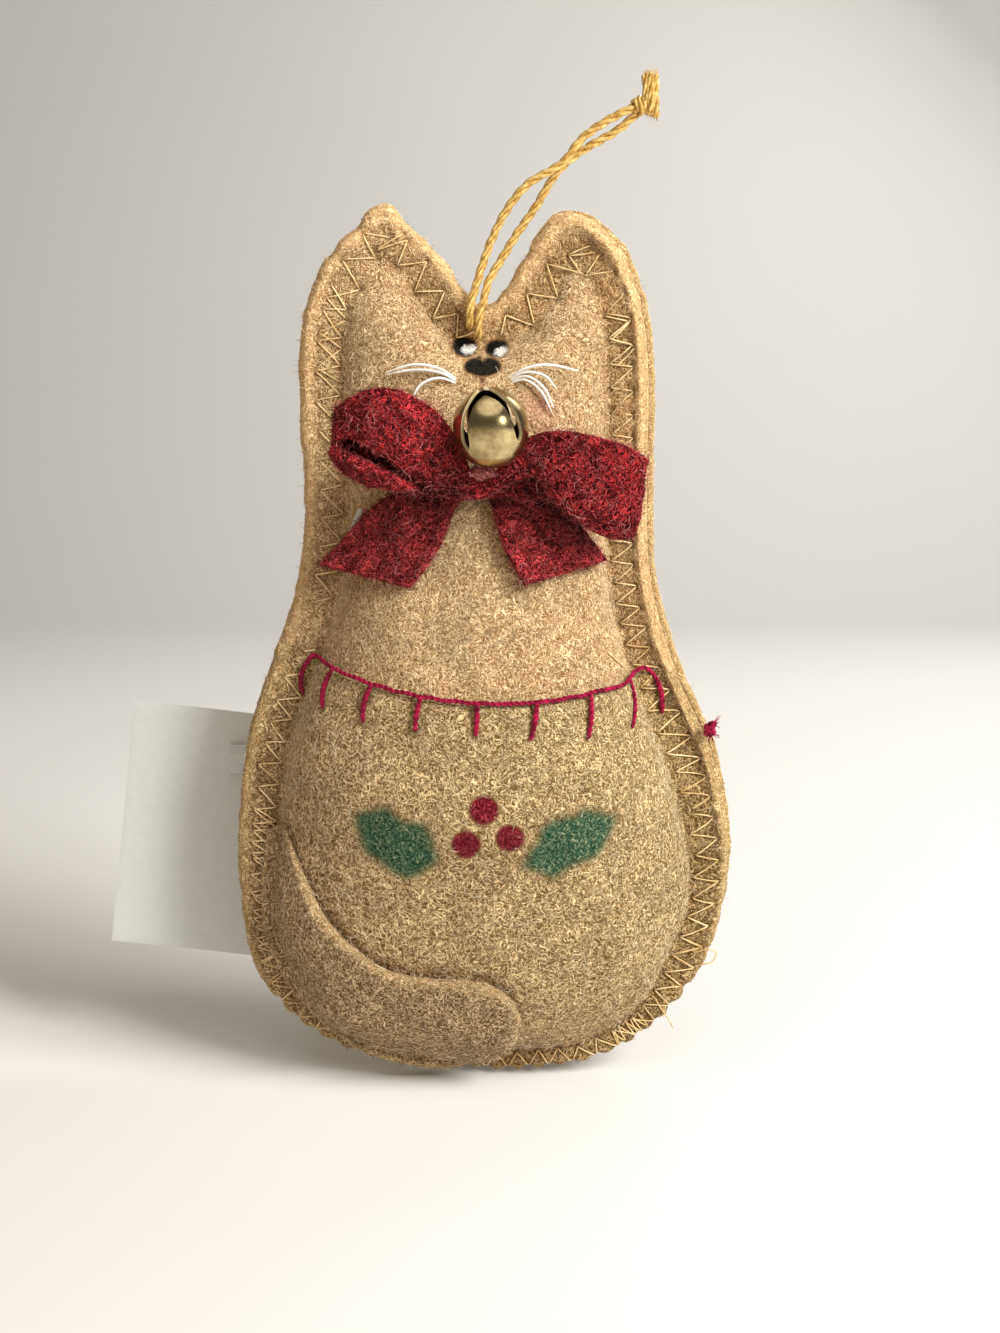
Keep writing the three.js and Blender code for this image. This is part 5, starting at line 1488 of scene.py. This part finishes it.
# painted shade: the inside of the bell is made near black; painted highlight: the slot and mouth lips are a
# paler brass
shadedInsideBrass = threadFinish("bellInsidePaintedShade", (0.03, 0.022, 0.010), (0.07, 0.05, 0.022), 0.5, 1.0, 420.0, 0.00003)
highlitLipBrass = threadFinish("bellLipPaintedHighlight", (0.60, 0.48, 0.24), (0.90, 0.76, 0.46), 0.42, 0.55, 420.0, 0.00003)
dress(shell, brass, ["bell_shell"])
shell.data.materials.append(shadedInsideBrass)
shell.data.materials.append(highlitLipBrass)
for face in shell.data.polygons:  # painted shade inside, painted highlight on the lips
    outward = face.normal.dot(face.center - Vector(bell["centre"]) * mm) / (bell["radius"] * mm)
    face.material_index = 1 if outward < -0.5 else 2 if outward < 0.6 else 0
steel = threadFinish("plainSteel", (0.30, 0.30, 0.30), (0.55, 0.55, 0.54), 0.35, 1.0, 1500.0, 0.00001)
pellet = frame["nodes"]["bell_pellet"]
pellet.data.materials.clear()
pellet.data.materials.append(steel)
print("bell made")

# clear glue under the bell
glue = {"centre": (0.5, -17.2, -20.5), "size": (2.1, 1.7, 0.9), "lumps": 1.0, "lumpSize": 1.1}
blob = startPiece("glue_blob", bpy.ops.mesh.primitive_ico_sphere_add, subdivisions=5, radius=1.0)
applyPlace(blob, glue["centre"], [s * mm for s in glue["size"]])
lumpy = bpy.data.textures.new("glueLumps", type="CLOUDS")
lumpy.noise_scale = glue["lumpSize"] * mm
applyModifier(blob, "DISPLACE", texture=lumpy, strength=glue["lumps"] * mm, texture_coords="LOCAL")
bpy.ops.object.shade_smooth()
dress(blob, clearFinish("clearGlue", (0.56, 0.16, 0.22), 0.02, 0.06), ["glue_pad"])
print("glue made")

# the tag's fastener
fastener = {
    "entry": (-17.6, -28.6), "filament": 0.35, "bar": 6.2, "barRadius": 0.5, "barTurn": 21, "barStand": 1.9,
    "barEnds": [0.72, 0.92], "barRings": 12,
    "behind": [(-0.6, -1.6, -0.8), (-2.4, 1.3, -4), (-7, 1.9, -14), (-13, 1.9, -26), (-15.9, 1.3, -33.7)],
    "tagBack": 12.15, "hole": (-34.7, 11.95, -65.3),
    "paddle": (-35.3, 11.1, -65.3), "paddleSize": (6.5, 0.7, 4.4),
    "paddleCorner": 1.1, "paddleRim": 0.5, "paddleHollow": 0.1, "paddleSoft": 0.12,
}
clearPlastic = clearFinish("clearNylon", (0.90, 0.91, 0.90), 0.12, 0.1, 0.6)
ex, ez = fastener["entry"]
barY = onChest(ex, fastener["barStand"], ez)[1]
lean = math.radians(fastener["barTurn"])
half = fastener["bar"] / 2 - fastener["barRadius"]
barSteps = np.linspace(-half, half, fastener["barRings"])[:, None]
barLine = np.array([ex, barY, ez]) + np.array([math.sin(lean), 0, math.cos(lean)]) * barSteps
barEnds = fastener["barEnds"]
barThick = np.array(barEnds + [1.0] * (fastener["barRings"] - 2 * len(barEnds)) + barEnds[::-1])
back = fastener["tagBack"]
stem = [(ex, barY, ez), (ex, barY + 3, ez), (ex, back - 4, ez)]
stem += [(ex + dx, back + dy, ez + dz) for dx, dy, dz in fastener["behind"]]
hx, hy, hz = fastener["hole"]
stem += [(hx, back + 0.7, hz + 0.35), (hx, hy - 0.1, hz), (hx - 0.2, fastener["paddle"][1], hz)]
parts = [
    sweep(barLine, fastener["barRadius"] * barThick, 14),
    sweep(evenLine(stem, 0.5), fastener["filament"], 10),
]
makePiece("fastener_line", joinParts(parts), clearPlastic, ["tag_fastener"])
paddle = startPiece("fastener_paddle", bpy.ops.mesh.primitive_cube_add, size=1)
applyPlace(paddle, fastener["paddle"], [s * mm for s in fastener["paddleSize"]])
bpy.ops.object.mode_set(mode="EDIT")
pickParts(paddle, "edges", lambda edge: abs((edge.verts[0].co - edge.verts[1].co).normalized().y) > 0.9)
bpy.ops.mesh.bevel(offset=fastener["paddleCorner"] * mm, segments=6)  # the four corners of its outline
pickParts(paddle, "faces", lambda face: abs(face.normal.y) > 0.9)
bpy.ops.mesh.inset(thickness=fastener["paddleRim"] * mm, depth=-fastener["paddleHollow"] * mm)
bpy.ops.object.mode_set(mode="OBJECT")
applyModifier(paddle, "BEVEL", width=fastener["paddleSoft"] * mm, segments=2)
bpy.ops.object.shade_smooth_by_angle(angle=math.radians(40))
dress(paddle, clearPlastic, ["tag_fastener"])
print("fastener made")

# blank swing tag
tag = {"size": 38, "thick": 0.4, "turn": 7, "below": 6.8, "hole": 1.5, "curl": 1.1, "worn": 0.08, "cells": 32}
card = startPiece(
    "blank_tag", bpy.ops.mesh.primitive_grid_add, x_subdivisions=tag["cells"], y_subdivisions=tag["cells"],
    size=tag["size"] * mm,
)
for v in card.data.vertices:
    u, w = v.co.x / (tag["size"] * mm / 2), v.co.y / (tag["size"] * mm / 2)
    v.co.z = tag["curl"] * mm * (0.55 * u * u * (1 if u < 0 else 0.2) + 0.35 * min(w, 0) ** 2 * (1 - u) / 2)
applyModifier(card, "SOLIDIFY", thickness=tag["thick"] * mm, offset=0)
drop = tag["size"] / 2 - tag["below"]
punch = startPiece(
    "punch", bpy.ops.mesh.primitive_cylinder_add, (0, drop * mm, 0), vertices=40,
    radius=tag["hole"] * mm, depth=0.01,
)
bpy.ops.object.select_all(action="DESELECT")
bpy.context.view_layer.objects.active = card
card.select_set(True)
applyModifier(card, "BOOLEAN", object=punch, solver="EXACT")
bpy.data.objects.remove(punch)
applyModifier(card, "BEVEL", width=tag["worn"] * mm, **wornEdges)
slant = math.radians(tag["turn"])
c, s = math.cos(slant), math.sin(slant)
for v in card.data.vertices:  # stand it up, hole at its place, turned about the hole
    x, up, deep = v.co.x / mm, v.co.y / mm - drop, v.co.z / mm
    v.co = Vector((hx + x * c + up * s, hy - deep, hz + up * c - x * s)) * mm
card.data.update()
bpy.ops.object.shade_smooth_by_angle(angle=math.radians(30))
whiteCard = threadFinish("whiteCard", (0.60, 0.61, 0.605), (0.63, 0.64, 0.635), 0.7, 0.0, 900.0, 0.00002)
dress(card, whiteCard, ["swing_tag"], "tag")
print("tag made")


# loose fibres on the felt
def fuzzOn(piece, name, slot, facing, finish, seed, count, long, thin, bare, rings, lie, wave):
    mesh = piece.data
    mesh.calc_loop_triangles()
    corners = np.zeros(len(mesh.loop_triangles) * 3, np.int32)
    mesh.loop_triangles.foreach_get("vertices", corners)
    co = pointsOf(piece)
    a, b, c = (co[corners.reshape(-1, 3)[:, k]] / mm for k in range(3))
    cross = np.cross(b - a, c - a).astype(float)
    area = np.linalg.norm(cross, axis=1) / 2
    normal = unit(cross)
    edges = np.abs(normal[:, 1]) < 0.55
    if facing:  # none inside, more on the cut edges
        area = np.where(normal[:, 1] * facing < -0.3, 0, area)
        area = np.where(edges, 3.0 * area, area)
    rng = np.random.default_rng(seed)
    pick = rng.choice(len(area), size=count, p=area / area.sum())
    u, v = rng.random((2, count))
    flip = u + v > 1
    u, v = np.where(flip, 1 - u, u)[:, None], np.where(flip, 1 - v, v)[:, None]
    root = a[pick] + (b - a)[pick] * u + (c - a)[pick] * v
    n = normal[pick]
    t = unit(np.cross(n, rng.normal(size=(count, 3))))
    side = np.cross(n, t)
    onEdge = edges[pick] & (facing != 0)
    size = (rng.uniform(*long, count) * rng.uniform(0.6, 1, count) * np.where(onEdge, 0.55, 1))[:, None]
    rise = np.radians(rng.uniform(*lie, count))[:, None]
    bend = rng.normal(0, 0.35, count)[:, None]
    tint = rng.random(count) ** 1.2
    # fibres on the cut edges get paler tones: a painted highlight, as on the felt's cut edges
    tint = np.where(onEdge, 0.5 + 0.5 * tint, tint)
    if bare is not None:
        stay = ~bare(root[:, 0], root[:, 2])
        kept = (q[stay] for q in (root, n, t, side, size, rise, bend, tint))
        root, n, t, side, size, rise, bend, tint = kept
    count = len(root)

    def place(s):
        across = bend * s * s + wave * (np.sin(9 * bend + 5 * s) - np.sin(9 * bend))
        up = np.sin(rise) * s - 0.3 * s * s
        return root + size * (t * np.cos(rise) * s + n * up + side * across) - n * 0.06

    turn = np.array([0, 2.1, 4.2])[None, :, None]
    ring = np.cos(turn) * n[:, None] + np.sin(turn) * side[:, None]
    tubes = [place(s)[:, None] + ring * thin * (1 - 0.35 * s) for s in rings]
    points = np.concatenate([*tubes, place(1.0)[:, None]], axis=1).reshape(-1, 3)
    top = 3 * len(rings)
    start = np.arange(count)[:, None] * (top + 1)
    pairs = [(k, (k + 1) % 3) for k in range(3)]
    quads = [[a + k, a + after, a + after + 3, a + k + 3] for a in range(0, top - 3, 3) for k, after in pairs]
    tris = [[0, 2, 1]] + [[top - 3 + k, top - 3 + after, top] for k, after in pairs]
    quads = np.concatenate([start + [q] for q in quads], axis=1).reshape(-1, 4)
    tris = np.concatenate([start + [q] for q in tris], axis=1).reshape(-1, 3)
    fuzz = makePiece(name, (points, [quads, tris]), finish, body=piece["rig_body"])
    markPoints(fuzz, "fibreTone", np.repeat(tint, top + 1))
    cells = int(math.ceil(math.sqrt(count)))
    spots = [(0.2 + 0.3 * k, 0.1 + 0.7 * a / len(rings)) for a in range(len(rings)) for k in range(3)]
    spots.append((0.5, 0.9))
    corner = np.concatenate([quads.ravel(), tris.ravel()])
    cell = corner // (top + 1)
    layFlat(fuzz, (np.stack([cell % cells, cell // cells], -1) + np.array(spots)[corner % (top + 1)]) / cells)


def onFace(x, z):  # no loose fibres over the painted eyes and nose
    return np.maximum(insideOval(x, z, paint["eyes"]), insideOval(x, z, paint["nose"])) > -0.35


def onHolly(x, z, margin=-0.1):
    return np.maximum(insideLeaves(x, z), insideOval(x, z, paint["berries"])) > -margin


def hairless(x, z):  # long fibres only on the stuffed part, clear of the stitches, the face and the holly
    sewn = sampled(insetField, x, z) < sampled(bandInner, x, z) + 0.4
    return sewn | onFace(x, z) | onHolly(x, z, 1.6)


furred = [
    (chest, "chest", "tan_felt", -1), (bellyPiece, "belly", "sand_felt", -1),
    (backPiece, "back", "sand_felt", 1), (tailPiece, "tail", "sand_felt", 0),
    (bowLoops, "bow_loop", "red_felt", 0), (bowTails, "bow_tail", "red_felt", 0),
]
coats = {
    "hair": {
        "rings": (0.0, 0.3, 0.55, 0.8), "lie": (3, 22), "wave": 0.16, "seed": 51,
        "tan_felt": ("tanHair", (0.50, 0.31, 0.14), (1.0, 0.86, 0.60)),
        "sand_felt": ("sandHair", (0.40, 0.26, 0.12), (0.98, 0.86, 0.62)),
        "red_felt": ("redHair", (0.12, 0.005, 0.010), (0.95, 0.48, 0.48), 3.0),
        # fibres on each piece, shortest and longest, thickness, where there are none
        "rows": [
            (8000, (1.6, 3.6), 0.036, hairless), (7000, (1.4, 3.0), 0.036, hairless),
            (8000, (1.6, 3.4), 0.036, hairless), (900, (1.0, 2.4), 0.036, None),
            (1600, (1.4, 3.2), 0.036, None), (900, (1.4, 3.2), 0.036, None),
        ],
    },
    "fuzz": {
        "rings": (0.0, 0.55), "lie": (8, 55), "wave": 0.0, "seed": 41,
        "tan_felt": ("tanFuzz", (0.26, 0.13, 0.05), (0.95, 0.76, 0.48)),
        "sand_felt": ("sandFuzz", (0.20, 0.12, 0.05), (0.93, 0.78, 0.52)),
        "red_felt": ("redFuzz", (0.02, 0.001, 0.003), (0.80, 0.16, 0.17), 1.6),
        "rows": [
            (18500, (0.8, 2.2), 0.036, onFace), (18500, (0.7, 1.9), 0.036, onHolly),
            (18500, (0.7, 2.0), 0.044, None), (5000, (0.7, 1.7), 0.04, None),
            (12000, (0.8, 2.0), 0.042, None), (7000, (0.8, 2.0), 0.042, None),
        ],
    },
}
for kind, coat in coats.items():
    tints = {slot: fuzzFinish(*coat[slot]) for slot in ("tan_felt", "sand_felt", "red_felt")}
    for k, ((piece, name, slot, facing), row) in enumerate(zip(furred, coat["rows"])):
        lay = (coat["rings"], coat["lie"], coat["wave"])
        fuzzOn(piece, name + "_" + kind, slot, facing, tints[slot], coat["seed"] + k, *row, *lay)
    print(kind, "made")

bpy.ops.object.select_all(action="DESELECT")
